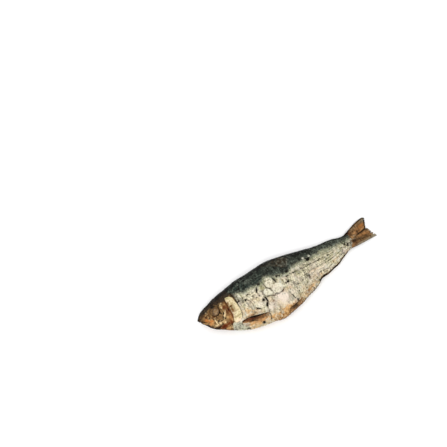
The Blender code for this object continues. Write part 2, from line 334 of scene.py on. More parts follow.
# Bright flakes: the same values.
FLAKES = (
    (38.3, -2.2, 3.0, 0.7, 95, 0.55), (36.4, -11.8, 1.6, 0.9, 90, 0.4), (34.2, 1.3, 0.6, 0.6, 0, 0.6),
    (34.0, -0.8, 0.7, 0.6, 0, 0.5), (36.3, 1.9, 0.9, 0.6, 0, 0.6), (43.6, -1.2, 1.6, 0.6, 20, 0.3),
    (44.4, -14.4, 1.1, 2.2, 10, 0.6), (46.6, -13.4, 0.7, 0.7, 0, 0.9), (48.2, -15.3, 1.3, 0.5, -25, 0.5),
    (46.0, -5.0, 1.1, 0.5, -35, 0.5), (50.2, -1.8, 1.5, 0.8, 10, 0.35), (50.9, -7.2, 0.6, 0.5, 0, 0.7),
    (54.4, -16.0, 2.0, 0.45, 68, 0.7), (52.9, -19.6, 1.7, 0.45, 60, 0.5), (55.4, -1.4, 1.8, 0.45, 68, 0.5),
    (67.9, -0.3, 1.0, 0.8, 0, 0.5), (61.2, -7.6, 0.8, 0.9, 0, 0.5), (58.8, -8.8, 0.7, 0.7, 0, 0.4),
    (71.0, -6.5, 1.2, 0.6, -50, 0.4), (65.6, -10.4, 0.8, 0.9, 0, 0.45), (70.5, -12.2, 1.0, 0.6, 10, 0.4),
    (74.0, -5.8, 0.8, 1.1, 20, 1.0), (74.8, -3.2, 1.1, 0.5, -20, 0.6), (73.7, -9.0, 0.8, 0.8, 0, 0.6),
    (79.6, -2.6, 0.9, 0.6, 0, 0.5), (77.5, -6.6, 0.8, 0.7, 0, 0.4), (71.8, -15.8, 1.2, 0.8, -30, 0.5),
    (78.2, -15.8, 0.9, 0.8, 0, 0.5), (83.6, -14.9, 0.9, 0.6, 0, 0.6), (86.8, -9.6, 1.2, 0.6, -45, 0.5),
    (87.3, -17.4, 0.8, 0.7, 0, 0.45), (88.3, -1.5, 0.8, 0.8, 0, 0.5), (90.6, -1.8, 0.9, 0.7, 0, 0.5),
    (93.6, -2.5, 1.0, 0.7, 0, 0.7), (94.8, -0.6, 0.7, 0.8, 0, 0.5), (98.6, -10.8, 0.9, 0.5, -40, 0.6),
    (98.6, -16.1, 1.1, 0.5, 20, 0.6), (102.5, -16.8, 0.5, 0.9, 0, 0.5), (110.6, -8.6, 0.8, 0.6, 0, 0.5),
    (115.4, -12.6, 1.3, 0.6, 5, 0.7), (120.3, -3.9, 1.2, 0.5, 0, 0.4), (129.0, -1.0, 2.6, 0.6, 0, 0.4),
    (132.8, -4.4, 1.2, 0.8, 0, 0.7), (127.5, -5.8, 0.8, 0.5, 0, 0.5), (128.0, -11.4, 1.0, 0.6, 40, 0.5),
    (100.4, 3.1, 0.8, 1.2, -10, 1.2), (106.9, 2.8, 1.2, 0.7, -45, 1.5), (143.9, -7.2, 1.0, 0.6, 10, 0.9),
    (142.9, -3.0, 1.8, 0.4, 95, 0.5), (144.9, -4.7, 1.5, 0.4, 15, 0.6), (148.0, 0.4, 0.8, 0.8, 0, 0.6),
    (41.3, 8.6, 1.3, 0.65, 0, 0.9), (49.8, -24.6, 1.2, 0.8, 0, 0.6), (52.2, -22.8, 0.8, 1.4, 0, 0.6),
    (45.8, -24.4, 1.0, 0.7, 0, 0.6), (41.8, -25.4, 1.3, 0.7, -15, 0.6), (38.4, -26.0, 1.0, 0.7, 0, 0.6),
    (51.0, -27.4, 1.2, 0.7, 0, 0.5), (36.0, -16.4, 2.0, 0.6, -10, 0.6), (41.0, -16.2, 1.2, 0.6, -15, 0.6),
    (29.4, -21.6, 0.9, 0.8, 0, 0.6), (36.6, -14.6, 1.6, 1.4, 0, 0.45), (34.4, -21.4, 0.9, 0.6, 0, 0.7), (61.0, -26.4, 1.0, 0.7, 0, 0.6), (64.6, -27.6, 0.8, 0.7, 0, 0.6),
    (67.4, -25.0, 1.2, 0.6, 0, 0.5), (58.0, -28.0, 0.8, 0.8, 0, 0.5), (126.0, -8.2, 2.0, 0.5, 10, 0.5),
    (134.4, -5.0, 2.0, 0.5, 5, 0.6), (137.8, -2.2, 1.2, 0.5, 0, 0.5), (139.6, -5.0, 1.8, 0.45, -10, 0.7),
    (145.2, -1.8, 0.5, 1.4, 0, 0.6), (147.2, -3.0, 0.7, 0.9, 0, 0.6), (146.0, -5.6, 1.2, 0.5, 0, 0.6),
    (131.8, -9.8, 1.6, 0.5, 20, 0.7), (122.4, -13.0, 1.4, 0.5, 10, 0.6), (118.0, -10.8, 1.6, 0.5, 5, 0.5),
)
# Stains by colour: the same values.
STAINS = dict(
    olive=(
        (40.2, -1.4, 0.9, 2.6, 8, 0.7), (58.4, -3.2, 1.6, 3.2, 12, 0.8), (60.0, 0.4, 2.4, 1.2, 0, 0.8),
        (47.0, -16.8, 3.2, 0.9, -25, 0.5), (104.4, -18.4, 1.8, 2.2, 0, 0.8), (106.0, -4.0, 9, 0.8, -1, 0.6),
        (84.5, -23.5, 2.5, 1.5, 10, 0.5), (42.0, -27.0, 3.0, 1.2, -10, 0.8), (78.6, -18.5, 1.3, 2.2, 0, 0.4),
        (91.0, -6.4, 2.4, 1.4, 0, 0.5), (102.0, -7.4, 4.0, 1.6, 0, 0.4), (78.6, 0.6, 1.2, 1.6, 0, 0.6),
        (142.4, 0.4, 2.4, 1.6, -20, 0.7), (136.4, -1.4, 2.6, 1.2, 0, 0.3), (132.6, -5.2, 2.4, 0.8, 0, 0.5),
        (37.4, -9.6, 1.0, 2.0, 0, 0.4), (52.4, -27.0, 3.0, 1.0, 0, 0.6),
    ),
    pink=(
        (36.0, -5.4, 1.6, 2.2, 0, 0.7), (33.8, 0.6, 1.4, 2.0, 0, 0.5), (43.4, -9.2, 2.6, 1.9, 0, 0.6),
        (51.6, -1.6, 2.6, 1.0, 10, 0.4), (71.6, -18.0, 3.6, 4.4, -15, 0.9), (57.4, -21.5, 1.6, 3.0, 0, 0.6),
        (106.6, -14.2, 1.8, 1.5, 0, 0.9), (88.6, -1.6, 3.0, 1.4, 0, 0.5), (30.6, -18.4, 3.4, 1.2, 0, 0.7),
        (32.8, -21.5, 1.4, 1.0, 0, 0.6), (84.0, -13.0, 3.0, 2.6, 0, 0.35), (136.5, -6.6, 3.0, 1.4, 15, 0.5),
    ),
    gold=(
        (38.2, -14.2, 3.2, 2.0, -20, 0.75), (43.4, -16.4, 2.8, 1.1, -10, 0.6), (38.0, -24.4, 2.2, 1.3, -15, 0.8),
        (42.0, -18.4, 4.5, 1.1, -12, 0.5), (47.0, -25.4, 4.0, 1.4, -6, 0.6), (96.0, -21.5, 5, 1.8, 25, 0.75),
        (78.0, -13.6, 3.2, 1.4, -10, 0.35), (105.0, -9.8, 7, 0.7, 0, 0.3), (108.8, -15.4, 1.4, 1.0, 0, 0.6),
        (126.0, -9.6, 3.6, 0.6, 12, 0.4), (36.6, -18.4, 1.8, 1.0, -10, 0.5),
    ),
    brown=(
        (34.4, -23.6, 2.2, 0.9, -20, 0.5), (61.3, -17.1, 1.5, 1.1, -20, 0.7), (64.2, -13.3, 1.6, 0.7, -15, 0.6),
        (72.2, -12.8, 1.1, 1.3, 0, 0.6), (92.0, -22.8, 2.8, 1.6, 20, 0.8), (76.4, -28.2, 4.5, 1.6, 12, 0.85),
        (59.0, -24.6, 0.9, 2.0, -20, 0.4), (40.8, -18.8, 3.4, 0.7, -12, 0.6), (34.0, 3.6, 1.6, 1.6, 0, 0.7),
        (33.4, -1.0, 0.5, 2.6, 0, 0.5), (62.6, 8.8, 2.2, 1.4, 0, 0.5), (94.0, 3.2, 5.0, 1.4, 0, 0.3),
        (78.4, -25.8, 0.7, 1.6, 0, 0.5), (139.6, -8.2, 2.6, 0.8, 25, 0.8), (144.6, -7.0, 1.6, 0.7, 0, 0.6),
        (35.0, 2.4, 1.8, 1.8, 0, 0.6), (36.2, -3.8, 1.2, 0.7, 0, 0.5), (147.2, -5.4, 1.0, 1.4, 0, 0.6),
    ),
)
BACK_EDGE = (
    (18, 4.6), (27, 4.6), (34, 3.6), (38, 3.0), (41, 1.7), (50, 1.5), (56, 1.0), (61, 2.4), (66, 4.0), (70, 1.2),
    (76, -0.4), (83, -1.4), (88, 0.8), (96, 1.6), (103, 1.3), (112, 2.0), (120, 2.2), (130, 1.6), (140, 1.6),
    (147, 2.6), (152, 3.0),
)


def trunk_place(along, turn):
    x = 20 + (TAIL_ROOT - 20) * along
    side, share = flank_of(turn)
    uneven = 0.7 * np.sin(share * 23) + 0.55 * np.sin(share * 57 + 1) + 0.3 * np.sin(share * 131)
    x = x - along**8 * (5.0 * (np.abs(share - 0.42) / 0.58) ** 1.2 + uneven)  # a tongue between the tail lobes
    at = on_skin(x, share, side)
    under = 1 - after(x, gill_edge(at[:, 1]) + 0.2, 0.3)  # sunk below the head and its gill covers
    end = ((along - 0.97) / 0.03).clip(0, 1)
    thinned = through(HALF_THICKNESS, x) * (1 - np.sqrt(1 - end**2))
    at = on_skin(x, share, side, -0.9 * under - thinned)
    centre = (back(x) + belly(x)) / 2
    at[:, 1] = centre + (at[:, 1] - centre) * (1 - 0.035 * under)
    return at


def keep(piece, **masks):
    """Stores masks on a piece, one value a point."""
    for name, values in masks.items():
        layer = piece.data.attributes.new(name, "FLOAT", "POINT")
        layer.data.foreach_set("value", np.asarray(values, np.float32).clip(0, 1))


trunk = drawn_out("trunk", 350, 270, trunk_place)
points = places(trunk)
x, y = points[:, 0], points[:, 1]
side = np.where(points[:, 2] > through(MIDDLE_HEIGHT, x), LEFT, RIGHT)
share = share_at(x, y)
# The lower flank has its cracks and loose scales a little further along.
fx = np.where(side == LEFT, x, x - 9.0) + 0.35 * wander(points, 1.7, 11)
fy = np.where(side == LEFT, y, y + 3.0) + 0.35 * wander(points, 1.7, 12)

height, tone, lone = scale_coat(points, side)
coarse, small, fine = (wander(points, size, seed) for size, seed in ((3.0, 13), (1.3, 14), (0.75, 15)))
wrinkle = np.maximum(
    np.exp(-((wander(points * (1, 0.6, 0.6), 2.1, 23) / 0.07) ** 2)),
    0.8 * np.exp(-((wander(points, 1.5, 24) / 0.08) ** 2)),
)

bare, pale, plate_crack_and_shade = np.zeros(x.shape), np.zeros(x.shape), np.zeros(x.shape)
for outline, paleness, highlight_side in PLATES:
    depth = inside(fx, fy, outline)
    centre = np.mean(outline, axis=0)
    facing = np.cos(np.arctan2(fy - centre[1], fx - centre[0]) - math.radians(highlight_side))
    on = after(depth, -0.5, 0.15)
    streaks = np.cos((fy - centre[1] + 0.3 * (fx - centre[0])) * 3.4 + coarse)
    # A painted highlight runs along the rim of each plate on that side; just outside the plate, a dark crack is painted
    # darker still, as shade, on the far side.
    plate_rim_highlight = np.exp(-(((depth + 0.05) / 0.55) ** 2)) * after(facing, 0.3, 0.4)
    bare = np.maximum(bare, on * min(1, 3 * paleness))
    pale = np.where(on > 0.5, paleness * (0.9 - 0.35 * streaks + 1.0 * small + 0.8 * fine + 1.0 * plate_rim_highlight), pale)
    plate_crack_and_shade = np.maximum(plate_crack_and_shade, paleness * np.exp(-(((depth + 0.85) / 0.35) ** 2)) * (0.9 + 0.8 * coarse - 0.4 * facing))

crack = np.zeros(x.shape)
for line, half, depth in CRACKS:
    crack = np.maximum(crack, depth * np.exp(-((from_line(fx, fy, line) / half) ** 2)))
crack = crack * (0.85 + 0.6 * wander(points, 1.6, 16)).clip(0, 1.2)
pit = blots(fx, fy, PITS, 3)
flake = blots(fx, fy, FLAKES, 2) * (1 - pit)
stain = {name: blots(fx, fy, marks, 1.5) * (0.9 + 0.4 * small) for name, marks in STAINS.items()}

belly_skin = blot(x, y, (68.5, -19.6), 9.0, 5.4, -8)  # smooth skin over the belly, with few scales
belly_folds = belly_skin * (0.5 + 0.5 * np.cos((x + 0.35 * y) * 1.9 + 1.5 * coarse))
scaly = (1 - 0.85 * belly_skin) * (1 - bare)
behind_gill = after(x, gill_edge(y) + 1.4, 0.6)
lost = after(0.13, lone, 0.02) * scaly
coat = after(share, 0.035, 0.02) * after(1 - share, 0.02, 0.01) * scaly * behind_gill
furrow = np.exp(-((((share * SCALE_ROWS) % 1 - 0.5) / 0.15) ** 2)) * after(share, 0.36, 0.04)
furrow = furrow * after(x, 92, 11) * after(147, x, 3)
furrow = furrow * (0.55 + 0.9 * wander(points * (0.35, 1, 1), 2.0, 25)).clip(0, 1.2)
scute = np.abs(((x / 2.5) % 1) - 0.5) * 2 * after(share, 0.975, 0.01) * after(x, 26, 2) * after(105, x, 1)
fold = np.maximum(np.cos((x + 0.55 * np.abs(y + 0.5)) * 3.1), 0) * after(x, 140, 1.5)
# Painted shade along the overlap of the scales, at the free edge of each.
scale_edge_shade = np.exp(-(((1 - height) / 0.16) ** 2)) * coat
speck = after(0.5 * small + 0.6 * fine, 0.52, 0.07) * scaly
glitter = after(-0.5 * small - 0.6 * fine, 0.46, 0.08) * scaly
drawn = wander(points * (0.4, 1.2, 1.2), 1.2, 31)  # streaks along the back

relief = (
    0.28 * (height - 0.5) * coat
    - 0.15 * lost * coat
    + 0.14 * bare
    + 0.12 * flake
    - 0.20 * plate_crack_and_shade
    - 0.60 * crack
    - 0.60 * pit
    - 0.20 * furrow
    - 0.12 * wrinkle * scaly
    - 0.06 * belly_folds
    + 0.30 * scute
    - 0.18 * fold
    + 0.30 * wander(points, 7.0, 17)
    + 0.12 * coarse * (1 - 0.6 * belly_skin)
    + 0.09 * small * (1 - 0.6 * belly_skin)
    + 0.05 * fine
    - 0.15 * np.exp(-(((x - gill_edge(y) - 0.6) / 0.5) ** 2))
)
push_out(trunk, relief)

back_edge = through(BACK_EDGE, x) + 0.9 * coarse + 0.7 * small + 0.5 * fine
on_back = after(y, back_edge, 0.9)
# Bright flakes on the back round the pit near 105 mm, and a spot at 41 mm, that are also painted highlights: the dark
# paint of the back is cleared there and pale is painted in.
flake_and_highlight = blots(x, y, ((101.6, 3.0, 1.3, 1.0, -10, 1), (107.0, 2.6, 1.1, 0.8, -40, 1), (41.4, 8.6, 1.1, 0.5, 0, 0.7)), 2)
on_back = on_back * (1 - flake_and_highlight)
# Painted sheen: single scales of the back lighter, more so where they stand highest.
scale_sheen = on_back * coat * (0.5 * after(tone, 0.6, 0.15) + 0.25 * height)
shoulder = after(x, 36, 1.5) * after(57, x, 2) * after(-y, 0, 1.5)
stalk = after(x, 110, 4) * after(-y, 6, 1.5)
chest = after(-y, 19.0 + 0.35 * (x - 30) + coarse, 0.9) * after(33 + 3 * coarse, x, 2.5)
# Painted shadow of the gill cover's edge on the trunk, broken along its length.
gill_gap_shade = np.exp(-(((x - gill_edge(y) - 0.6) / 0.36) ** 2)) * after(5, y, 1)
gill_gap_shade = gill_gap_shade * (0.3 + 0.7 * after(wander(points * (1, 0.5, 1), 2.4, 26), -0.25, 0.3))
keep(
    trunk,
    # tone: besides its random changes, each scale is painted lighter where it stands highest and darker in the shade at
    # its edge.
    tone=0.75 + 0.05 * after(x, 85, 8) + 0.17 * shoulder + 0.24 * stalk
    + 0.42 * (tone - 0.5) * coat + 0.30 * (height - 0.5) * coat
    + (0.46 * small + 0.50 * fine) * (1 - 0.5 * belly_skin) - 0.22 * scale_edge_shade - 0.30 * wrinkle * scaly + 0.16 * belly_skin,
    olive=np.maximum(stain["olive"], 0.5 * crack + 0.35 * furrow) + 0.3 * after(coarse, 0.35, 0.2) * scaly
    + 0.30 * after(x, 85, 8) * after(wander(points, 5, 18), 0.1, 0.3) * after(y, -9, 4)
    + 0.3 * wrinkle * scaly + 0.22 * belly_folds,
    pink=stain["pink"] + 0.5 * after(wander(points, 3.6, 19), 0.25, 0.2) * after(-y, 2, 3)
    + 0.65 * belly_skin * (1 - 0.7 * belly_folds),
    gold=stain["gold"] * (0.9 + 0.5 * fine)
    + (0.85 + 0.55 * small + 0.5 * fine)
    * after(-y, 25.8 - 1.0 * after(48, x, 4) - 0.6 * after(x, 84, 6) + 1.6 * coarse, 1.5)
    * after(x, 36, 2.5) * (0.3 + 0.7 * after(86, x, 4)) * after(104, x, 3)
    + 0.22 * after(wander(points, 5.0, 20), 0.3, 0.25) * after(-y, 6, 4),
    brown=stain["brown"]
    + 0.5 * after(share, 0.965, 0.012) * after(x, 55, 4)
    + 0.25 * after(wander(points, 2.2, 21), 0.52, 0.1) * after(-y, 3, 4)
    + 0.5 * after(-y, 27.6 + coarse, 0.7) * after(small, 0.1, 0.2) * after(x, 52, 3)
    + 0.75 * after(x, 147.0 + 0.9 * coarse + 0.6 * small, 0.5) * after(3.6, y, 1.5),
    silver=chest * (0.75 + 0.6 * small + 0.5 * fine)
    + 0.6 * after(-y, -belly(x) - 2.0 + 0.9 * coarse, 0.7) * after(57, x, 2) * after(x, 40, 2),
    grey=(1 - flake_and_highlight) * 0.8 * np.exp(-(((y - back_edge + 1.0) / 1.7) ** 2)) * after(x, 37, 3) * (0.8 + 0.5 * small),
    # pale: loose plates, whose rims carry a painted highlight, bright flakes, painted highlights on the back, and pale
    # specks.
    pale=np.maximum(np.maximum(pale, flake), flake_and_highlight) + 0.75 * glitter + 0.4 * chest * after(small, 0.35, 0.1),
    back=on_back,
    teal=after(y, back_edge + 1.5, 1.2) * (0.45 + 0.6 * wander(points, 4.0, 22)) * after(66, x, 10),
    # glint: a painted sheen on the back, as lighter scales, streaks and mottle, with painted highlights at the
    # shoulder.
    glint=0.45 * scale_sheen
    + on_back * (
        0.45 * after(drawn, 0.3, 0.2) + 0.35 * after(small + 0.5 * fine + 0.4 * coarse, 0.25, 0.2)
        + after(x, 100, 12) * after(0.8 * small + 0.6 * fine, 0.12, 0.2) * 0.4
        + blots(x, y, ((50.5, 7.4, 3.4, 1.3, -8, 0.6), (41.3, 8.6, 1.4, 0.7, 0, 1.4), (37, 8.4, 1.6, 1.0, 0, 0.4)))
    ),
    # crown: the darkest band along the top of the back, and near the back's edge painted shade under scale edges,
    # wrinkles and dark mottle.
    crown=after(y, back(x) - 4.4 + 3.2 * after(x, 112, 12) + 1.2 * coarse, 1.5 - 0.9 * after(x, 112, 12))
    * (0.85 + 0.35 * small + 0.3 * fine - 0.6 * scale_sheen) * (1 - flake_and_highlight)
    + after(y, back_edge + 1, 1) * (0.5 * scale_edge_shade + 0.5 * wrinkle + 0.55 * after(small + 0.5 * fine, 0.2, 0.2)),
    # dark: cracks, pits and other dark marks, with painted shade in the plates' outer cracks, under scale edges and
    # below the gill cover's edge.
    dark=1.0 * crack + 1.0 * pit + 0.55 * plate_crack_and_shade + 0.25 * scale_edge_shade + 0.36 * furrow * (1 - 0.4 * stalk) + 0.3 * lost
    + 0.45 * fold + 0.7 * gill_gap_shade + 0.60 * speck * (1 - 0.5 * shoulder) * (1 - 0.3 * stalk) + 0.4 * chest * after(-small - 0.6 * fine, 0.45, 0.1)
    + 0.28 * wrinkle * scaly
    + 0.7 * after(share, 0.982, 0.006) * after(x, 60, 5),
)


def srgb(red, green, blue):
    """A colour as a shader takes it, from the usual 0 to 255."""
    value = np.array([red, green, blue]) / 255
    linear = np.where(value <= 0.04045, value / 12.92, ((value + 0.055) / 1.055) ** 2.4)
    return (*linear, 1.0)


def painted(name, ground, layers, roughness=0.48, metallic=0.05, specular=0.07, bump=0.1, grain_mm=0.5):
    """A finish: a ground of two colours by tone, then colours over it where their masks say.

    Each layer is (mask, colour, roughness, metallic). The masks' edges are broken up by a grain.
    """
    material = bpy.data.materials.new(name)
    material.use_nodes = True
    nodes, links = material.node_tree.nodes, material.node_tree.links
    shader = nodes["Principled BSDF"]

    def made(kind, inputs=(), **settings):
        node = nodes.new(kind)
        for key, value in settings.items():
            setattr(node, key, value)
        for socket, value in inputs:
            if isinstance(value, bpy.types.NodeSocket):
                links.new(value, node.inputs[socket])
            else:
                node.inputs[socket].default_value = value
        return node

    def maths(operation, *inputs):
        return made("ShaderNodeMath", enumerate(inputs), operation=operation).outputs[0]

    def mixed(kind, factor, low, high):
        sockets = {"FLOAT": (2, 3, 0), "RGBA": (6, 7, 2)}[kind]
        node = made("ShaderNodeMix", [(0, factor), (sockets[0], low), (sockets[1], high)], data_type=kind)
        return node.outputs[sockets[2]]

    where = made("ShaderNodeTexCoord").outputs["Object"]
    grain = made(
        "ShaderNodeTexNoise",
        [("Vector", where), ("Scale", 0.5 / (grain_mm * MM)), ("Detail", 4.0), ("Roughness", 0.6)],
    ).outputs["Fac"]
    fine = made(
        "ShaderNodeTexNoise",
        [("Vector", where), ("Scale", 1 / (0.4 * MM)), ("Detail", 3.0), ("Roughness", 0.65)],
    ).outputs["Fac"]
    centred = maths("SUBTRACT", grain, 0.5)

    def ragged(mask):
        """The mask, unsettled by the grain where it is neither 0 nor 1."""
        value = made("ShaderNodeAttribute", attribute_name=mask).outputs["Fac"]
        unsure = maths("MULTIPLY", value, maths("SUBTRACT", 1.0, value))
        return maths("MULTIPLY_ADD", maths("MULTIPLY", unsure, 6.0), centred, value)

    colour = mixed("RGBA", ragged("tone"), srgb(*ground[0]), srgb(*ground[1]))
    rough, metal = roughness, metallic
    for mask, paint, paint_roughness, paint_metallic in layers:
        factor = ragged(mask)
        colour = mixed("RGBA", factor, colour, srgb(*paint))
        rough = mixed("FLOAT", factor, rough, paint_roughness)
        metal = mixed("FLOAT", factor, metal, paint_metallic)
    rough = maths("SUBTRACT", maths("MULTIPLY_ADD", fine, 0.3, rough), 0.15)
    bumped = made("ShaderNodeBump", [("Height", fine), ("Strength", 1.0), ("Distance", bump * MM)])
    shader.inputs["Specular IOR Level"].default_value = specular
    links.new(colour, shader.inputs["Base Color"])
    links.new(rough, shader.inputs["Roughness"])
    links.new(metal, shader.inputs["Metallic"])
    links.new(bumped.outputs[0], shader.inputs["Normal"])
    return material


def finish(piece, material):
    """Gives a finished piece its material and its place in the model."""
    piece.data.materials.clear()
    piece.data.materials.append(material)
    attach(piece, "root")
    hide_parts("fish")


scaled_skin = painted(
    "scaled_skin",
    ground=((84, 76, 50), (232, 223, 194)),
    layers=(
        ("olive", (150, 147, 104), 0.42, 0.1),
        ("pink", (224, 209, 192), 0.42, 0.08),
        ("gold", (208, 162, 104), 0.45, 0.05),
        ("silver", (182, 182, 158), 0.36, 0.25),
        ("grey", (128, 138, 112), 0.42, 0.1),
        ("brown", (118, 74, 34), 0.5, 0.0),
        ("pale", (212, 209, 190), 0.45, 0.08),
        ("back", (24, 26, 19), 0.48, 0.0),
        ("teal", (18, 40, 36), 0.45, 0.05),
        ("glint", (118, 126, 112), 0.36, 0.2),
        ("crown", (8, 8, 6), 0.5, 0.0),
        ("dark", (14, 10, 5), 0.6, 0.0),
    ),
)
finish(trunk, scaled_skin)

# --- Head -----------------------------------------------------------------------------------------
# The head is bone under thin dried skin, brown with smoke. It is one closed skin with a lip behind,
# where the gill opening is, and its rear end is hidden inside the trunk. The mouth, the eye sockets
# and the bones of the face are pressed into it.

EYE, EYE_RADIUS = (15.5, -1.2), 4.2
LIP = 0.9  # thickness of the head's free rear edge
# Stains of the face by colour: place, half length, half width, lean in degrees and strength.
FACE = dict(
    cream=(
        (21.1, -8.0, 2.7, 0.52, 58, 1.4), (12.9, -9.1, 2.0, 0.5, -82, 1.3), (15.3, -11.3, 0.9, 1.5, 0, 1.0),
        (12.2, -11.8, 2.2, 0.8, -8, 0.8), (21.4, -1.3, 0.55, 0.8, 0, 0.85), (21.5, 0.9, 0.45, 0.5, 0, 0.6),
        (22.7, 1.7, 0.6, 0.5, 0, 0.6), (19.2, -13.1, 0.8, 0.5, 20, 0.8), (17.9, -11.5, 0.7, 0.5, 0, 0.5),
        (8.6, 2.0, 0.45, 1.6, 0, 0.3), (8.8, -4.4, 0.5, 1.2, 0, 0.35), (22.4, -19.2, 1.4, 0.8, -40, 0.6),
        (14.6, 1.4, 1.2, 0.3, 10, 0.3),
    ),
    isthmus=((20.2, -18.6, 3.8, 1.2, -28, 1.0), (14.4, -15.6, 1.4, 0.6, -32, 0.5)),
    orange=(
        (6.4, -4.6, 1.8, 1.2, -30, 1.1), (9.2, -6.6, 2.0, 1.0, -25, 1.0), (8.4, -8.6, 2.0, 0.9, -15, 0.5),
        (24.4, -11.2, 1.3, 2.8, 0, 0.35), (25.2, -1.2, 0.8, 1.4, 10, 0.3),
    ),
    brown=(
        (7.4, -2.0, 1.3, 0.9, -25, 1.3), (10.4, -1.6, 0.7, 2.0, 0, 1.0), (11.4, -4.8, 1.2, 0.6, -30, 0.7),
        (23.8, -2.8, 1.5, 2.0, 0, 1.2), (23.9, -6.4, 1.3, 2.6, 10, 1.1), (24.8, 1.8, 1.8, 1.8, 0, 0.7),
        (26.2, -1.0, 0.8, 4.2, 0, 1.0), (22.4, -12.8, 1.6, 1.2, 0, 0.6), (16.8, -7.6, 2.6, 1.8, 0, 0.55),
        (5.2, 0.6, 4.4, 1.8, 22, 0.9), (19.4, -1.8, 0.7, 2.8, 8, 1.0), (16.6, -4.9, 2.2, 0.7, 4, 1.0),
        (12.6, -4.6, 1.6, 0.8, -12, 1.0), (12.8, -13.2, 1.6, 0.8, -20, 0.8), (12.0, 0.6, 2.0, 1.6, 0, 0.7),
        (20.4, -13.9, 1.2, 0.6, -20, 0.6), (3.0, -2.6, 1.8, 0.9, -30, 0.6),
    ),
    rust=(
        (17.3, -15.4, 2.6, 1.3, -8, 1.5), (21.2, -15.4, 2.6, 1.0, -4, 1.0), (23.5, -15.4, 0.7, 1.8, 0, 1.2),
        (26.0, -6.2, 0.6, 2.0, 8, 1.4), (26.4, -11.2, 0.45, 3.2, 0, 1.1), (23.4, -2.2, 0.9, 1.0, 0, 0.55),
        (13.6, -4.6, 1.2, 0.5, -12, 0.5),
    ),
    skull=(
        (7.6, 2.6, 5.2, 1.7, 24, 0.75), (13.5, 4.2, 4.2, 1.8, 12, 0.75), (24.0, 4.4, 4.5, 2.4, 0, 0.9),
        (19.4, 3.6, 2.0, 1.6, 0, 0.8), (2.2, -0.6, 1.8, 1.2, 10, 0.7),
    ),
    dark=(
        (15.4, 3.2, 1.8, 0.9, 4, 0.95), (16.4, 4.9, 1.2, 0.9, 0, 0.7), (20.5, 1.4, 0.7, 0.6, 0, 1.0),
        (23.2, 1.0, 0.7, 0.5, 0, 0.5), (16.4, -15.2, 1.4, 0.6, -10, 0.5), (19.2, 0.6, 0.5, 0.8, 0, 0.5),
        (15.2, -13.4, 0.8, 0.7, 0, 0.6), (23.5, -19.7, 0.6, 0.8, 0, 1.0), (25.8, -5.6, 0.5, 1.0, 0, 0.9),
        (18.6, -4.4, 0.8, 0.5, 30, 0.7), (13.4, -14.4, 1.0, 0.5, -30, 0.8), (7.2, -1.6, 0.5, 0.5, 0, 0.5),
        (23.2, -16.6, 0.5, 0.6, 0, 0.7), (23.0, -21.2, 1.5, 0.4, 61, 0.9),
    ),
)


def head_place(along, turn):
    side, share = flank_of(turn)
    outer = (along / 0.9).clip(0, 1)
    x = outer**1.25 * GILL_X
    level = on_skin(x, share, side)[:, 1]
    x = x + (gill_edge(level) - GILL_X) * outer**3
    proud = 0.45 * after(x, gill_edge(level) - 7, 2.5) * after(5, level, 2) * after(level, -22, 1)
    curl = ((along - 0.9) / 0.04).clip(0, 1) * math.pi
    inner = ((along - 0.94) / 0.06).clip(0, 1)
    depth = LIP / 2 * (1 - np.cos(curl)) + 1.5 * inner
    at = on_skin((x + 0.4 * np.sin(curl) - 7 * inner).clip(0.02, None), share, side, proud - depth)
    centre = (back(x) + belly(x)) / 2
    at[:, 1] = centre + (at[:, 1] - centre) * (1 - 0.05 * depth)
    return at


def face(x, y, coarse, small, fine):
    """The masks that the head and the bones on it share."""
    masks = {name: blots(x, y, marks, 1.5) * (0.95 + 0.45 * small) for name, marks in FACE.items()}
    masks["tone"] = 0.52 + 0.42 * small + 0.34 * fine + 0.2 * coarse
    masks["skull"] += after(y, 4.4 + 0.8 * coarse + 0.9 * small - 1.2 * after(x, 20, 4) - 2.6 * after(12, x, 3), 1.2)
    masks["crown"] = after(y, back(x) - 2.1 - 2.2 * after(x, 16, 5) + 0.5 * coarse, 0.7) + after(1.9, x, 0.8)
    masks["crown"] *= 0.80 + 0.6 * small + 0.5 * fine
    return masks


head = drawn_out("head", 230, 256, head_place)
points = places(head)
x, y = points[:, 0], points[:, 1]
side = np.where(points[:, 2] > through(MIDDLE_HEIGHT, x), LEFT, RIGHT)
share = share_at(x, y)
warped = points + 0.3 * np.stack([wander(points, 2.2, seed) for seed in (41, 42, 43)], axis=1)
wx, wy = warped[:, 0], warped[:, 1]
coarse, small, fine = (wander(points, size, seed) for size, seed in ((3.0, 44), (1.3, 45), (0.7, 46)))
wrinkle = np.exp(-((wander(points, 2.0, 48) / 0.08) ** 2))

from_eye = np.hypot(wx - EYE[0], (wy - EYE[1]) * 1.05)
socket = after(4.3, from_eye, 0.3)
socket_rim = np.exp(-(((from_eye - 5.0) / 0.6) ** 2))
mouth = np.exp(-((from_line(wx, wy, ((-1.5, -0.9), (3.0, -3.4), (8.2, -7.2))) / 0.3) ** 2))
under_eye = from_line(wx, wy, ((9.6, -1.0), (10.6, -5.0), (14.0, -7.4), (18.6, -6.4), (20.6, -4.0)))
streak = from_line(wx, wy, ((22.4, -5.6), (19.7, -10.6)))
jaw_joint = from_line(wx, wy, ((12.7, -7.4), (13.1, -10.2), (15.0, -12.2)))
chin = from_line(wx, wy, ((2.5, -4.8), (7.5, -9.6), (12.5, -13.6)))
throat = after(-wy, 0.62 * wx + 3.6, 0.8) * after(wx, 8, 2)
rays = 0.5 + 0.5 * np.cos((wy + 0.62 * wx) * 4.2)
nostril = np.exp(-((np.hypot(x - 6.8, y - 2.4) / 0.55) ** 2))
skull = after(y, 5.4 + 0.6 * coarse, 0.8)
skull_lines = np.cos(y * 5.5 + 1.6 * coarse) * skull * after(x, 12, 2) * after(back(x) - 2, y, 1)
rear = after(x, gill_edge(y) - 0.5, 0.3)
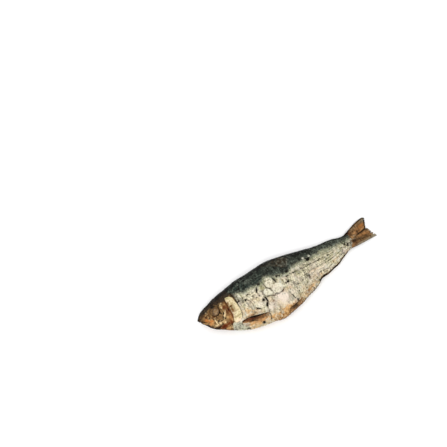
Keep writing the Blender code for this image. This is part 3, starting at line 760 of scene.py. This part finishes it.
nape = after(y, 6, 1.2) * after(x, 22, 4)  # where the head runs on into the back

relief = (
    0.30 * socket_rim
    - 0.8 * socket
    - 0.65 * mouth
    + 0.25 * np.exp(-((under_eye / 0.8) ** 2))
    + 0.35 * np.exp(-((streak / 0.6) ** 2))
    + 0.30 * np.exp(-((jaw_joint / 0.6) ** 2))
    - 0.25 * np.exp(-((chin / 0.35) ** 2))
    - 0.15 * throat * rays
    - 0.4 * nostril
    + 0.07 * skull_lines
    + 0.30 * wander(points, 4.0, 47)
    + 0.16 * coarse
    + 0.12 * small
    + 0.06 * fine
    - 0.12 * wrinkle
)
push_out(head, relief * (1 - rear) - 0.35 * nape * after(x, 29, 2))

paint = face(wx, wy, coarse, small, fine)
paint["tone"] -= 0.4 * wrinkle
paint["crown"] += 0.5 * wrinkle * after(y, 4, 1)
# Painted sheen: lighter streaks over the nape, where the head runs on into the back.
paint["glint"] = nape * after(wander(points * (0.45, 1.2, 1.2), 1.3, 31), 0.2, 0.25) * 0.5
paint["brown"] += 0.9 * after(share, 0.88, 0.025) * after(15, x, 3) + 0.25 * throat * (1 - rays)
paint["dark"] = paint["dark"] + (
    0.9 * mouth + nostril
    + 0.35 * socket * after(from_eye, 3.7, 0.4) * (0.8 + 0.6 * small)
    + 0.55 * np.exp(-((chin / 0.35) ** 2)) * after(12, x, 2)
    + 0.95 * after(share, 0.915, 0.015) * after(12.5, x, 2) * (1 - 0.75 * after(share, 0.982, 0.006))
    + 0.55 * after(share, 0.955, 0.01) * (1 - 0.75 * after(share, 0.985, 0.006))
    + 0.6 * after(-small - 0.5 * fine, 0.55, 0.08)
    + 0.4 * wrinkle
    + 0.4 * after(skull_lines, 0.6, 0.2)
    # painted shade on the head's rear lip, under the gill cover in the gill opening
    + 0.75 * rear * (1 - nape) * (0.7 + 0.5 * small)
)
keep(head, **paint)
head_skin = painted(
    "head_skin",
    ground=((62, 42, 18), (188, 152, 100)),
    layers=(
        ("orange", (184, 116, 58), 0.45, 0.0),
        ("brown", (92, 56, 26), 0.48, 0.0),
        ("isthmus", (178, 136, 86), 0.45, 0.0),
        ("rust", (96, 38, 4), 0.48, 0.0),
        ("skull", (54, 42, 29), 0.5, 0.0),
        ("cream", (226, 200, 154), 0.42, 0.0),
        ("glint", (78, 84, 74), 0.4, 0.1),
        ("crown", (11, 9, 6), 0.5, 0.0),
        ("dark", (16, 9, 3), 0.55, 0.0),
    ),
)
finish(head, head_skin)

# --- Eyes -----------------------------------------------------------------------------------------
# Each eye is a ball of dried jelly that the smoke has clouded, sunk in its socket. It is a ball
# pressed into a lens that follows the cheek, with a ridge round the iris and a wrinkled pupil.

eye_finish = painted(
    "clouded_eye",
    ground=((48, 30, 12), (116, 86, 48)),
    layers=(
        ("iris", (84, 56, 26), 0.25, 0.0),
        ("pupil", (134, 104, 64), 0.25, 0.0),
        ("dark", (20, 11, 4), 0.35, 0.0),
    ),
    roughness=0.28,
    specular=0.25,
    bump=0.05,
    grain_mm=0.4,
)
for side, name in ((LEFT, "eye_left"), (RIGHT, "eye_right")):
    bpy.ops.object.select_all(action="DESELECT")
    bpy.ops.mesh.primitive_uv_sphere_add(segments=96, ring_count=64, radius=1)
    eye = bpy.context.object
    eye.name = eye.data.name = name
    flat = np.empty(len(eye.data.vertices) * 3)
    eye.data.vertices.foreach_get("co", flat)
    across, up, out = flat.reshape(-1, 3).T
    reach = np.hypot(across, up)
    x, y = EYE[0] + EYE_RADIUS * across, EYE[1] + EYE_RADIUS * up
    points = np.stack([x, y, out * 3], axis=1)
    coarse, small = wander(points, 2.2, 60), wander(points, 1.0, 61)
    from_pupil = np.hypot(across - 0.10, up + 0.18)
    iris_ridge = np.exp(-(((from_pupil - 0.58) / 0.09) ** 2))
    pupil_dip = after(0.42, from_pupil, 0.05)
    dome = 1.3 * out + np.where(out > 0, 0.14 * iris_ridge - 0.10 * pupil_dip + 0.10 * small + 0.12 * coarse, 0)
    skin = on_skin(x, share_at(x, y), side)[:, 2]
    points[:, 2] = np.maximum(skin + side * (dome - 0.85), 0.02)
    move_to(eye, points)
    outwards(eye)
    spokes = 0.5 + 0.5 * np.cos(np.arctan2(up, across) * 11 + 2.5 * small)
    lower_arc = after(reach, 0.84, 0.05) * after(-up + 0.35 * across, 0.15, 0.3)
    keep(
        eye,
        tone=0.6 + 0.6 * small + 0.3 * coarse + 0.2 * spokes,
        iris=np.exp(-(((from_pupil - 0.62) / 0.16) ** 2)) * (0.35 + 0.5 * small + 0.4 * spokes),
        pupil=after(0.50, from_pupil, 0.14) * (0.75 + 0.7 * small),
        # dark: arcs low on the rim, a thin ring at the edge and blotches, and over the top of the eye a painted shadow
        # of the lid.
        dark=0.85 * lower_arc * (0.8 + 0.5 * small) + 0.30 * after(reach, 0.93, 0.04)
        + 0.8 * after(up + 0.12 * coarse, 0.66, 0.09) + 0.3 * after(coarse, 0.4, 0.15),
    )
    finish(eye, eye_finish)

# --- Face plates ----------------------------------------------------------------------------------
# Thin bones that lie over the face on both sides: the jaw bone, the brown cheek plate and the cream
# gill cover behind it. Each is a sheet laid on the skin between two lines and given its thickness.


def between(first, second, u, v):
    """Places between two smooth lines: u along them and v from the first to the second."""
    ends = []
    for line in (first, second):
        along = np.linspace(0, 1, len(line))
        ends.append(np.stack([through(tuple(zip(along, values)), u) for values in np.array(line, float).T]))
    return ends[0] * (1 - v) + ends[1] * v


def sheet(name, first, second, cells, level, thickness, paint, gone=None):
    """A thin solid between two lines, with its height, its masks and the faces to leave out."""
    bpy.ops.object.select_all(action="DESELECT")
    bpy.ops.mesh.primitive_grid_add(x_subdivisions=cells[0], y_subdivisions=cells[1], size=1)
    piece = bpy.context.object
    piece.name = piece.data.name = name
    flat = np.empty(len(piece.data.vertices) * 3)
    piece.data.vertices.foreach_get("co", flat)
    u, v = flat.reshape(-1, 3)[:, :2].T + 0.5
    x, y = between(first, second, u, v)
    move_to(piece, np.stack([x, y, level(x, y, u, v)], axis=1))
    keep(piece, **paint(x, y, u, v))
    if gone:
        lost = gone(u, v)
        bpy.ops.object.mode_set(mode="EDIT")
        bpy.ops.mesh.select_mode(type="FACE")
        bpy.ops.mesh.select_all(action="DESELECT")
        bpy.ops.object.mode_set(mode="OBJECT")
        for face_of in piece.data.polygons:
            face_of.select = bool(lost[face_of.vertices[0]])
        bpy.ops.object.mode_set(mode="EDIT")
        bpy.ops.mesh.delete(type="FACE")
        bpy.ops.object.mode_set(mode="OBJECT")
    wall = piece.modifiers.new("wall", "SOLIDIFY")
    wall.thickness, wall.offset = thickness * MM, 0.0
    bpy.ops.object.modifier_apply(modifier="wall")
    bpy.ops.object.mode_set(mode="EDIT")
    bpy.ops.mesh.select_all(action="SELECT")
    bpy.ops.mesh.remove_doubles(threshold=0.02 * MM)
    bpy.ops.object.mode_set(mode="OBJECT")
    outwards(piece)
    bpy.ops.object.shade_smooth_by_angle(angle=math.radians(50))
    return piece


def noise_at(x, y, side, size, seed):
    return wander(np.stack([x, y, np.full(x.shape, 5.0 * side)], axis=1), size, seed)


def raised(x, y, side, by):
    """The height of a sheet laid on the skin, kept just above the floor on the lower flank."""
    skin = on_skin(x, share_at(x, y), side)[..., 2]
    return np.maximum(skin + side * by, 0.35)


def sunk(u, v, at_u=0.08, at_v=0.0):
    """1 over the middle of a sheet, falling to 0 where its ends or its first line go under the skin."""
    ends = (np.minimum(u, 1 - u) / at_u).clip(0, 1) if at_u else 1
    start = (v / at_v).clip(0, 1) if at_v else 1
    return np.sin(ends * math.pi / 2) * np.sin(start * math.pi / 2)


bone = painted(
    "gill_bone",
    ground=((176, 152, 104), (238, 224, 186)),
    layers=(
        ("sallow", (196, 190, 140), 0.45, 0.0),
        ("pink", (234, 208, 178), 0.45, 0.0),
        ("brown", (112, 78, 38), 0.45, 0.0),
        ("dark", (26, 16, 6), 0.5, 0.0),
    ),
)

for side, mark in ((LEFT, "left"), (RIGHT, "right")):

    def unevenness(x, y):
        return [noise_at(x, y, side, size, seed) for size, seed in ((3.0, 71), (1.3, 72), (0.7, 73))]

    def gill_level(x, y, u, v):
        coarse, small, fine = unevenness(x, y)
        swell = 0.42 + 0.28 * np.sin(v * math.pi) + 0.10 * small + 0.10 * coarse + 0.05 * np.cos(34 * (u + 0.12 * v))
        return raised(x, y, side, swell * sunk(u, v, 0.1, 0.1) - 0.35 * (1 - sunk(u, v, 0.1, 0.1)))

    def gill_paint(x, y, u, v):
        coarse, small, fine = unevenness(x, y)
        lines = (
            0.75 * np.exp(-((from_line(x, y, ((27.4, -13.9), (30.4, -13.9), (33.8, -13.0))) / 0.24) ** 2))
            + 0.5 * np.exp(-((from_line(x, y, ((27.8, -8.8), (31.0, -9.6), (33.8, -9.4))) / 0.2) ** 2))
            + 0.3 * np.exp(-((from_line(x, y, ((28.4, -0.4), (33.0, 0.4))) / 0.2) ** 2))
            + 0.3 * np.exp(-((from_line(x, y, ((27.6, -11.6), (33.0, -11.2))) / 0.2) ** 2))
        )
        return dict(
            tone=0.66 + 0.34 * small + 0.28 * fine + 0.15 * coarse + 0.08 * np.cos(34 * (u + 0.12 * v)),
            sallow=blots(x, y, ((31.4, -14.6, 2.0, 1.6, 0, 0.5), (29.0, 3.2, 2.2, 1.4, -30, 0.9),
                                (32.6, -11.6, 1.4, 1.0, 0, 0.5), (31.0, -6.0, 1.2, 1.6, 0, 0.2)))
            + 0.3 * after(coarse, 0.2, 0.2),
            pink=blots(x, y, ((28.0, -8.6, 0.7, 2.6, 0, 0.6), (28.2, 0.8, 1.0, 1.0, 0, 0.5),
                              (32.4, -6.0, 0.8, 1.6, 0, 0.5), (30.0, -17.0, 3.0, 1.2, 0, 0.9))),
            brown=blots(x, y, ((28.7, -4.3, 1.8, 1.1, 10, 1.6), (28.9, -6.6, 2.2, 3.0, 10, 1.3),
                               (27.7, -1.4, 1.0, 2.0, 0, 1.0), (29.8, -3.4, 2.4, 2.0, 0, 0.55),
                               (28.2, -10.6, 1.3, 2.2, 0, 0.4), (29.4, -13.2, 2.6, 0.8, 0, 0.3),
                               (28.8, 2.8, 2.6, 1.4, -20, 0.4))) * (0.85 + 0.6 * small)
            + 0.45 * after(0.06, v, 0.04) + 0.6 * lines,
            dark=0.4 * lines + 0.85 * after(v, 0.965, 0.015) * (0.35 + 0.9 * small).clip(0, 1)
            + blots(x, y, ((28.4, -4.4, 1.1, 0.5, 10, 0.6), (29.3, -5.2, 0.8, 0.5, -30, 0.4)))
            + 0.35 * after(-small - 0.6 * fine, 0.75, 0.08),
        )

    gill_cover = sheet(
        "gill_cover_" + mark,
        ((28.2, 4.4), (27.0, 3.2), (26.8, 0.2), (26.9, -5.0), (26.8, -11.0), (25.4, -15.6), (26.8, -17.6)),
        ((29.4, 4.2), (32.5, 2.0), (33.4, -1.6), (34.1, -6.0), (34.3, -11.0), (33.3, -15.4), (30.4, -17.8)),
        (84, 44), gill_level, 0.3, gill_paint,
    )
    finish(gill_cover, bone)

    def cheek_level(x, y, u, v):
        coarse, small, fine = unevenness(x, y)
        swell = 0.25 + 0.30 * v**2 + 0.12 * small + 0.08 * coarse
        return raised(x, y, side, swell * sunk(u, v, 0.1, 0.25) - 0.4 * (1 - sunk(u, v, 0.1, 0.25)))

    def cheek_paint(x, y, u, v):
        paint = face(x, y, *unevenness(x, y))
        paint["brown"] += 0.5 * v**6
        paint["dark"] += 0.6 * after(v, 0.95, 0.02) * (0.7 + 0.6 * unevenness(x, y)[1])
        return paint

    cheek = sheet(
        "cheek_plate_" + mark,
        ((20.4, 4.0), (20.8, -1.0), (21.2, -6.5), (20.4, -11.2), (17.8, -13.6), (14.2, -14.4)),
        ((26.5, 5.2), (26.8, 0.0), (27.0, -7.0), (26.7, -13.2), (22.8, -17.2), (15.0, -16.2)),
        (84, 36), cheek_level, 0.3, cheek_paint,
    )
    finish(cheek, head_skin)

    def jaw_level(x, y, u, v):
        coarse, small, fine = unevenness(x, y)
        return raised(x, y, side, (0.34 + 0.22 * np.sin(v * math.pi) + 0.08 * small) * sunk(u, v, 0.25, 0.2)
                      - 0.4 * (1 - sunk(u, v, 0.25, 0.2)))

    jaw = sheet(
        "jaw_bone_" + mark,
        ((1.6, -0.8), (4.2, -1.8), (7.4, -3.8), (11.6, -6.2)),
        ((2.2, -2.2), (4.2, -3.6), (6.8, -6.2), (10.0, -9.2)),
        (56, 20), jaw_level, 0.3,
        lambda x, y, u, v: face(x, y, *unevenness(x, y)),
    )
    finish(jaw, head_skin)

# --- Fins -----------------------------------------------------------------------------------------
# The fins are dried membranes on rays that branch towards their frayed ends. The tail lobes stand
# in the middle of the fish, and the other fins are folded down on the skin, where they have dried.

fin_finish = painted(
    "dried_fin",
    ground=((42, 26, 12), (142, 108, 70)),
    layers=(
        ("orange", (166, 108, 56), 0.45, 0.0),
        ("red", (92, 44, 24), 0.45, 0.0),
        ("gold", (196, 148, 98), 0.45, 0.0),
        ("grey", (142, 132, 110), 0.45, 0.0),
        ("dark", (14, 8, 3), 0.5, 0.0),
    ),
    grain_mm=0.4,
)
dark_fin_finish = painted(
    "dark_fin",
    ground=((8, 8, 5), (44, 42, 32)),
    layers=(
        ("brown", (62, 48, 30), 0.45, 0.0),
        ("grey", (122, 122, 108), 0.42, 0.05),
        ("dark", (8, 8, 5), 0.5, 0.0),
    ),
    grain_mm=0.4,
)


def rays(u, v, count):
    """The ridges of a fin's rays, which fork half way out."""
    stem = np.cos(v * count * math.tau)
    forked = np.cos(v * count * 2 * math.tau)
    return stem + (forked - stem) * after(u, 0.5, 0.1)


def frayed(count, seed, depth):
    """Leaves the ends of a fin ragged, ray by ray, with a round first corner."""
    ends = np.random.default_rng(seed).uniform(0, 1, count * 2 + 1) ** 2 * depth

    def gone(u, v):
        corner = 0.10 * (1 - (v / 0.22).clip(0, 1)) ** 1.5
        return u > 1 - np.maximum(ends[np.minimum((v * count * 2).astype(int), count * 2)], corner)

    return gone


def fin(name, first, second, cells, count, level, thickness, material, seed, fray=0.12, ridge=0.14, **masks):
    """A fin between its first and its last ray, both from the root out. Masks are added to its tone."""

    def paint(x, y, u, v):
        unsettled = noise_at(x, y, 1, 1.2, seed)
        made = {mask: value(x, y, u, v) * (0.9 + 0.4 * unsettled) for mask, value in masks.items()}
        made.setdefault("tone", 0.48 + 0.35 * rays(u, v, count) + 0.5 * unsettled + 0.12 * np.cos(u * 70))
        return made

    piece = sheet(
        name, first, second, cells,
        lambda x, y, u, v: level(x, y, u, v) + ridge * rays(u, v, count) * after(u, 0.1, 0.05),
        thickness, paint, frayed(count, seed, fray),
    )
    finish(piece, material)
    return piece


def tail_level(lift):
    """Tail lobes: in the middle of the fish, curling a little where they have dried."""
    return lambda x, y, u, v: (
        through(MIDDLE_HEIGHT, x) + lift * (0.4 + u) - 0.9 * u * np.sin(2 * v) + 0.2 * noise_at(x, y, 1, 3.0, 91) * u
    )


fin(
    "tail_upper",
    ((144.5, 5.9), (152.0, 8.6), (160.0, 11.3), (169.8, 13.0)),
    ((144.5, -0.6), (152.0, 0.5), (158.4, 1.1), (165.6, 3.3)),
    (120, 100), 10, tail_level(0.3), 0.45, fin_finish, 92,
    fray=0.05,
    orange=lambda x, y, u, v: blots(x, y, ((162.6, 6.6, 3.2, 1.6, 18, 0.9), (157.0, 4.8, 3.4, 0.8, 14, 0.4),
                                           (160.6, 3.4, 3.0, 0.8, 14, 0.5))),
    red=lambda x, y, u, v: blots(x, y, ((149.4, 5.6, 2.2, 1.8, 15, 0.8), (155.5, 2.6, 1.4, 0.9, 0, 0.4))),
    gold=lambda x, y, u, v: blots(x, y, ((154.2, 3.4, 1.8, 1.2, 20, 0.5), (162.6, 3.9, 2.4, 0.7, 20, 0.5),
                                         (151.6, 1.4, 1.4, 1.0, 0, 0.8), (157.0, 6.6, 3.0, 0.6, 14, 0.3))),
    grey=lambda x, y, u, v: blots(x, y, ((166.4, 10.4, 3.0, 1.6, 10, 0.9), (152.6, 1.6, 1.2, 0.7, 0, 0.8),
                                         (156.0, 8.0, 5.0, 0.6, 16, 0.4))),
    dark=lambda x, y, u, v: 0.85 * after(0.11, v, 0.03) + 0.7 * after(u, 0.94, 0.02)
    + 0.8 * after(v, 0.94, 0.02) * after(u, 0.42, 0.08)
    + blots(x, y, ((157.1, 3.8, 1.3, 0.7, 15, 0.9), (167.6, 9.6, 0.7, 2.6, -30, 0.6), (147.8, 6.2, 2.6, 1.6, 15, 0.9),
                   (153.0, 5.4, 2.4, 0.5, 14, 0.6), (150.4, 3.4, 1.4, 0.7, 10, 0.6), (163.0, 8.8, 3.0, 0.3, 16, 0.4)))
    + 0.3 * after(-rays(u, v, 10), 0.75, 0.15) * after(u, 0.3, 0.1),
)
fin(
    "tail_lower",
    ((144.5, 1.8), (152.0, 1.6), (158.4, 2.2), (166.2, 3.7)),
    ((144.5, -7.0), (152.0, -7.3), (161.0, -7.1), (171.0, -7.0)),
    (120, 100), 10, tail_level(-0.1), 0.45, fin_finish, 93,
    fray=0.06,
    orange=lambda x, y, u, v: blots(x, y, ((161.5, -0.6, 4.5, 1.2, -4, 0.4), (165.5, -1.4, 2.2, 1.4, 0, 0.3))),
    red=lambda x, y, u, v: blots(x, y, ((150.6, -5.8, 3.6, 1.4, 0, 0.6), (151.0, -3.0, 2.4, 1.4, 0, 0.5))),
    gold=lambda x, y, u, v: blots(x, y, ((163.4, -0.2, 3.0, 0.7, 0, 0.3), (167.8, -0.4, 1.4, 1.2, 0, 0.5),
                                         (148.6, 0.4, 2.4, 0.6, -5, 0.9), (147.0, -4.8, 1.4, 1.6, 0, 0.5))),
    grey=lambda x, y, u, v: 0.75 * after(v, 0.83, 0.05) * after(u, 0.25, 0.1) + 0.45 * after(u, 0.95, 0.03)
    + blots(x, y, ((151.4, -0.7, 1.6, 0.5, -5, 0.9), (168.6, -5.0, 1.6, 1.4, 0, 0.5))),
    dark=lambda x, y, u, v: after(0.135, v, 0.02) * after(u, 0.5, 0.06) + 0.5 * after(v, 0.97, 0.012)
    + blots(x, y, ((151.0, -2.4, 2.6, 1.6, -10, 1.0), (155.0, -2.6, 3.0, 1.1, -5, 0.75), (159.0, -3.8, 4.6, 0.8, -4, 0.7),
                   (167.6, -2.2, 1.1, 0.9, -30, 1.0), (156.6, -5.2, 6.0, 0.4, 0, 0.5), (162.0, -2.4, 3.0, 0.5, -4, 0.5)))
    + 0.3 * after(-rays(u, v, 10), 0.75, 0.15) * after(u, 0.3, 0.1),
)
fin(
    "dorsal_fin",
    ((61.8, 14.9), (69.0, 12.2), (77.0, 7.4), (84.4, 1.6)),
    ((81.6, 14.7), (84.4, 13.8), (87.2, 11.6), (89.6, 8.4)),
    (110, 130), 15,
    lambda x, y, u, v: raised(x, y, LEFT, 0.22 + 0.12 * noise_at(x, y, 1, 3.0, 94) - 0.5 * after(0.1, u, 0.04)),
    0.3, dark_fin_finish, 95,
    fray=0.07, ridge=0.10,
    brown=lambda x, y, u, v: 0.6 * after(noise_at(x, y, 1, 2.5, 96), 0.1, 0.3),
    grey=lambda x, y, u, v: 0.5 * after(u, 0.955, 0.02) * after(noise_at(x, y, 1, 1.6, 107), -0.2, 0.2)
    + 0.55 * after(rays(u, v, 15) + noise_at(x, y, 1, 1.3, 108), 1.0, 0.25) * after(u, 0.35, 0.2)
    + blots(x, y, ((86.3, 11.4, 1.8, 0.5, -5, 0.9), (88.9, 8.2, 1.3, 0.4, -40, 0.9), (81.4, 5.8, 2.0, 1.2, 30, 0.4),
                   (71.8, 11.0, 1.4, 0.7, -10, 0.4), (69.8, 9.6, 1.4, 0.5, -20, 0.4))),
    dark=lambda x, y, u, v: 0.6 * after(0.3, u, 0.12) + 0.4 * after(-noise_at(x, y, 1, 1.6, 109), 0.2, 0.2),
)
fin(
    "anal_fin",
    ((105.6, -20.2), (109.0, -18.3), (116.0, -17.4), (122.0, -15.7), (128.0, -14.2), (134.0, -11.3), (141.0, -8.3)),
    ((106.0, -18.6), (109.6, -16.5), (116.0, -16.0), (122.0, -14.5), (128.0, -12.9), (134.0, -10.0), (141.0, -7.5)),
    (200, 16), 2,
    lambda x, y, u, v: raised(x, np.maximum(y, belly(x) + 0.02), LEFT, 0.35 - 0.55 * after(v, 0.75, 0.1)),
    0.3, fin_finish, 97,
    fray=0.05, ridge=0.0,
    tone=lambda x, y, u, v: 0.5 + 0.14 * np.cos(u * 190 + 3 * v) + 0.4 * noise_at(x, y, 1, 0.8, 98),
    grey=lambda x, y, u, v: blots(x, y, ((119.0, -16.0, 2.6, 1.2, 10, 0.7), (131.0, -12.0, 2.4, 1.2, 20, 0.5))),
    dark=lambda x, y, u, v: 0.5 * after(0.7, v, 0.15) + 0.5 * after(noise_at(x, y, 1, 1.6, 110), 0.1, 0.2)
    + blots(x, y, ((107.0, -19.0, 2.0, 1.6, 20, 0.8), (111.6, -17.2, 1.8, 1.2, 5, 0.6),
                   (124.4, -14.4, 2.2, 1.2, 15, 0.8))),
)
for side, mark in ((LEFT, "left"), (RIGHT, "right")):
    fin(
        "pectoral_fin_" + mark,
        ((29.8, -18.9), (38.2, -19.2), (46.4, -21.2), (54.8, -22.8)),
        ((30.2, -20.4), (36.6, -23.8), (44.6, -26.4), (54.0, -26.0)),
        (130, 84), 9,
        lambda x, y, u, v: raised(
            x, y, side,
            (0.34 + 0.3 * np.sin(u * math.pi) * (1 - v) + 0.12 * noise_at(x, y, 1, 3, 99)) * sunk(u, v, 0.12)
            - 0.45 * (1 - sunk(u, v, 0.12)) - 0.55 * after(v + 0.2 * noise_at(x * 0.5, y, 1, 1.6, 114), 0.80, 0.12),
        ),
        0.25, fin_finish, 100 + side,
        fray=0.2, ridge=0.10,
        orange=lambda x, y, u, v: blots(x, y, ((48.0, -23.6, 4.0, 0.8, -4, 0.4), (35.4, -21.4, 1.8, 0.7, -10, 0.4))),
        red=lambda x, y, u, v: blots(x, y, ((39.6, -21.0, 5.6, 1.2, -8, 1.2), (35.0, -19.8, 3.4, 0.9, -2, 0.9),
                                            (44.0, -22.8, 3.0, 0.7, -10, 0.8), (49.0, -22.9, 2.6, 0.6, -4, 0.5))),
        gold=lambda x, y, u, v: 0.95 * after(v + 0.22 * noise_at(x * 0.4, y, 1, 1.2, 101), 0.70, 0.10)
        + blots(x, y, ((49.0, -24.8, 4.0, 0.6, -4, 0.5), (33.0, -21.5, 1.3, 0.7, -10, 0.9))),
        grey=lambda x, y, u, v: blots(x, y, ((50.6, -24.4, 2.6, 0.5, 0, 0.5), (41.6, -24.6, 2.0, 0.4, -16, 0.4))),
        dark=lambda x, y, u, v: 0.8 * after(0.14, v - 0.1 * noise_at(x, y, 1, 1.5, 111), 0.06) * after(u, 0.08, 0.05)
        * after(0.95, u, 0.05)
        + blots(x, y, ((45.4, -21.6, 3.0, 0.5, -6, 0.9), (40.4, -20.3, 2.2, 0.6, -14, 0.8), (38.8, -22.7, 2.4, 0.5, -14, 0.9),
                       (42.2, -24.0, 1.8, 0.5, -20, 0.8), (48.6, -24.6, 1.0, 0.4, 0, 0.4), (32.2, -19.7, 1.6, 0.5, 0, 0.9)))
        + 0.45 * after(-noise_at(x * 0.4, y, 1, 1.0, 102), 0.3, 0.15) * after(0.7, v, 0.1),
    )
    fin(
        "pelvic_fin_" + mark,
        ((70.6, -28.2), (75.0, -27.4), (80.0, -26.4), (85.2, -24.8)),
        ((71.0, -29.4), (75.4, -30.6), (80.4, -29.0), (84.8, -25.6)),
        (84, 44), 5,
        lambda x, y, u, v: raised(x, y, side, 0.34 * sunk(u, v, 0.15) - 0.4 * (1 - sunk(u, v, 0.15)) + 0.1 * np.sin(6 * v)),
        0.25, fin_finish, 103 + side,
        fray=0.15, ridge=0.08,
        red=lambda x, y, u, v: 0.3 * after(noise_at(x, y, 1, 2.0, 104), 0.0, 0.2),
        gold=lambda x, y, u, v: 0.5 * after(v, 0.75, 0.1) + 0.4 * after(u, 0.8, 0.1),
        dark=lambda x, y, u, v: 0.7 * after(0.16, v, 0.05) * after(0.8, u, 0.1)
        + 0.4 * after(-noise_at(x * 0.5, y, 1, 1.2, 112), 0.1, 0.2),
    )

# --- Floor, light and camera ------------------------------------------------------------------------
# A wide pale floor and a soft, bright studio.

bpy.ops.object.select_all(action="DESELECT")
bpy.ops.mesh.primitive_plane_add(size=6, location=(0, 0, -0.0002))
floor = bpy.context.object
floor.name = "floor"
paper = bpy.data.materials.new("paper")
paper.use_nodes = True
paper.node_tree.nodes["Principled BSDF"].inputs["Base Color"].default_value = srgb(250, 250, 250)
paper.node_tree.nodes["Principled BSDF"].inputs["Roughness"].default_value = 0.9
floor.data.materials.append(paper)

world = bpy.data.worlds.new("studio")
world.use_nodes = True
world.node_tree.nodes["Background"].inputs["Color"].default_value = (1, 1, 1, 1)
world.node_tree.nodes["Background"].inputs["Strength"].default_value = 0.9
bpy.context.scene.world = world

lamp = bpy.data.lights.new("key", "SUN")
lamp.energy, lamp.angle = 1.3, math.radians(35)
key = bpy.data.objects.new("key", lamp)
key.rotation_euler = Vector((-0.30, -0.20, 1)).to_track_quat("Z", "Y").to_euler()
bpy.context.scene.collection.objects.link(key)

camera = bpy.data.objects.new("camera", bpy.data.cameras.new("camera"))
camera.data.lens, camera.data.sensor_width = 60, 36
camera.data.clip_start = 0.01
aim = Vector((-0.0262, 0.0714, 0.009))
turned, raised_by = math.radians(-28.6), math.radians(72)
towards = Vector(
    (math.sin(turned) * math.cos(raised_by), -math.cos(turned) * math.cos(raised_by), math.sin(raised_by))
)
camera.location = aim + 0.6374 * towards
camera.rotation_euler = towards.to_track_quat("Z", "Y").to_euler()
bpy.context.scene.collection.objects.link(camera)
bpy.context.scene.camera = camera
bpy.context.scene.view_settings.view_transform = "Standard"
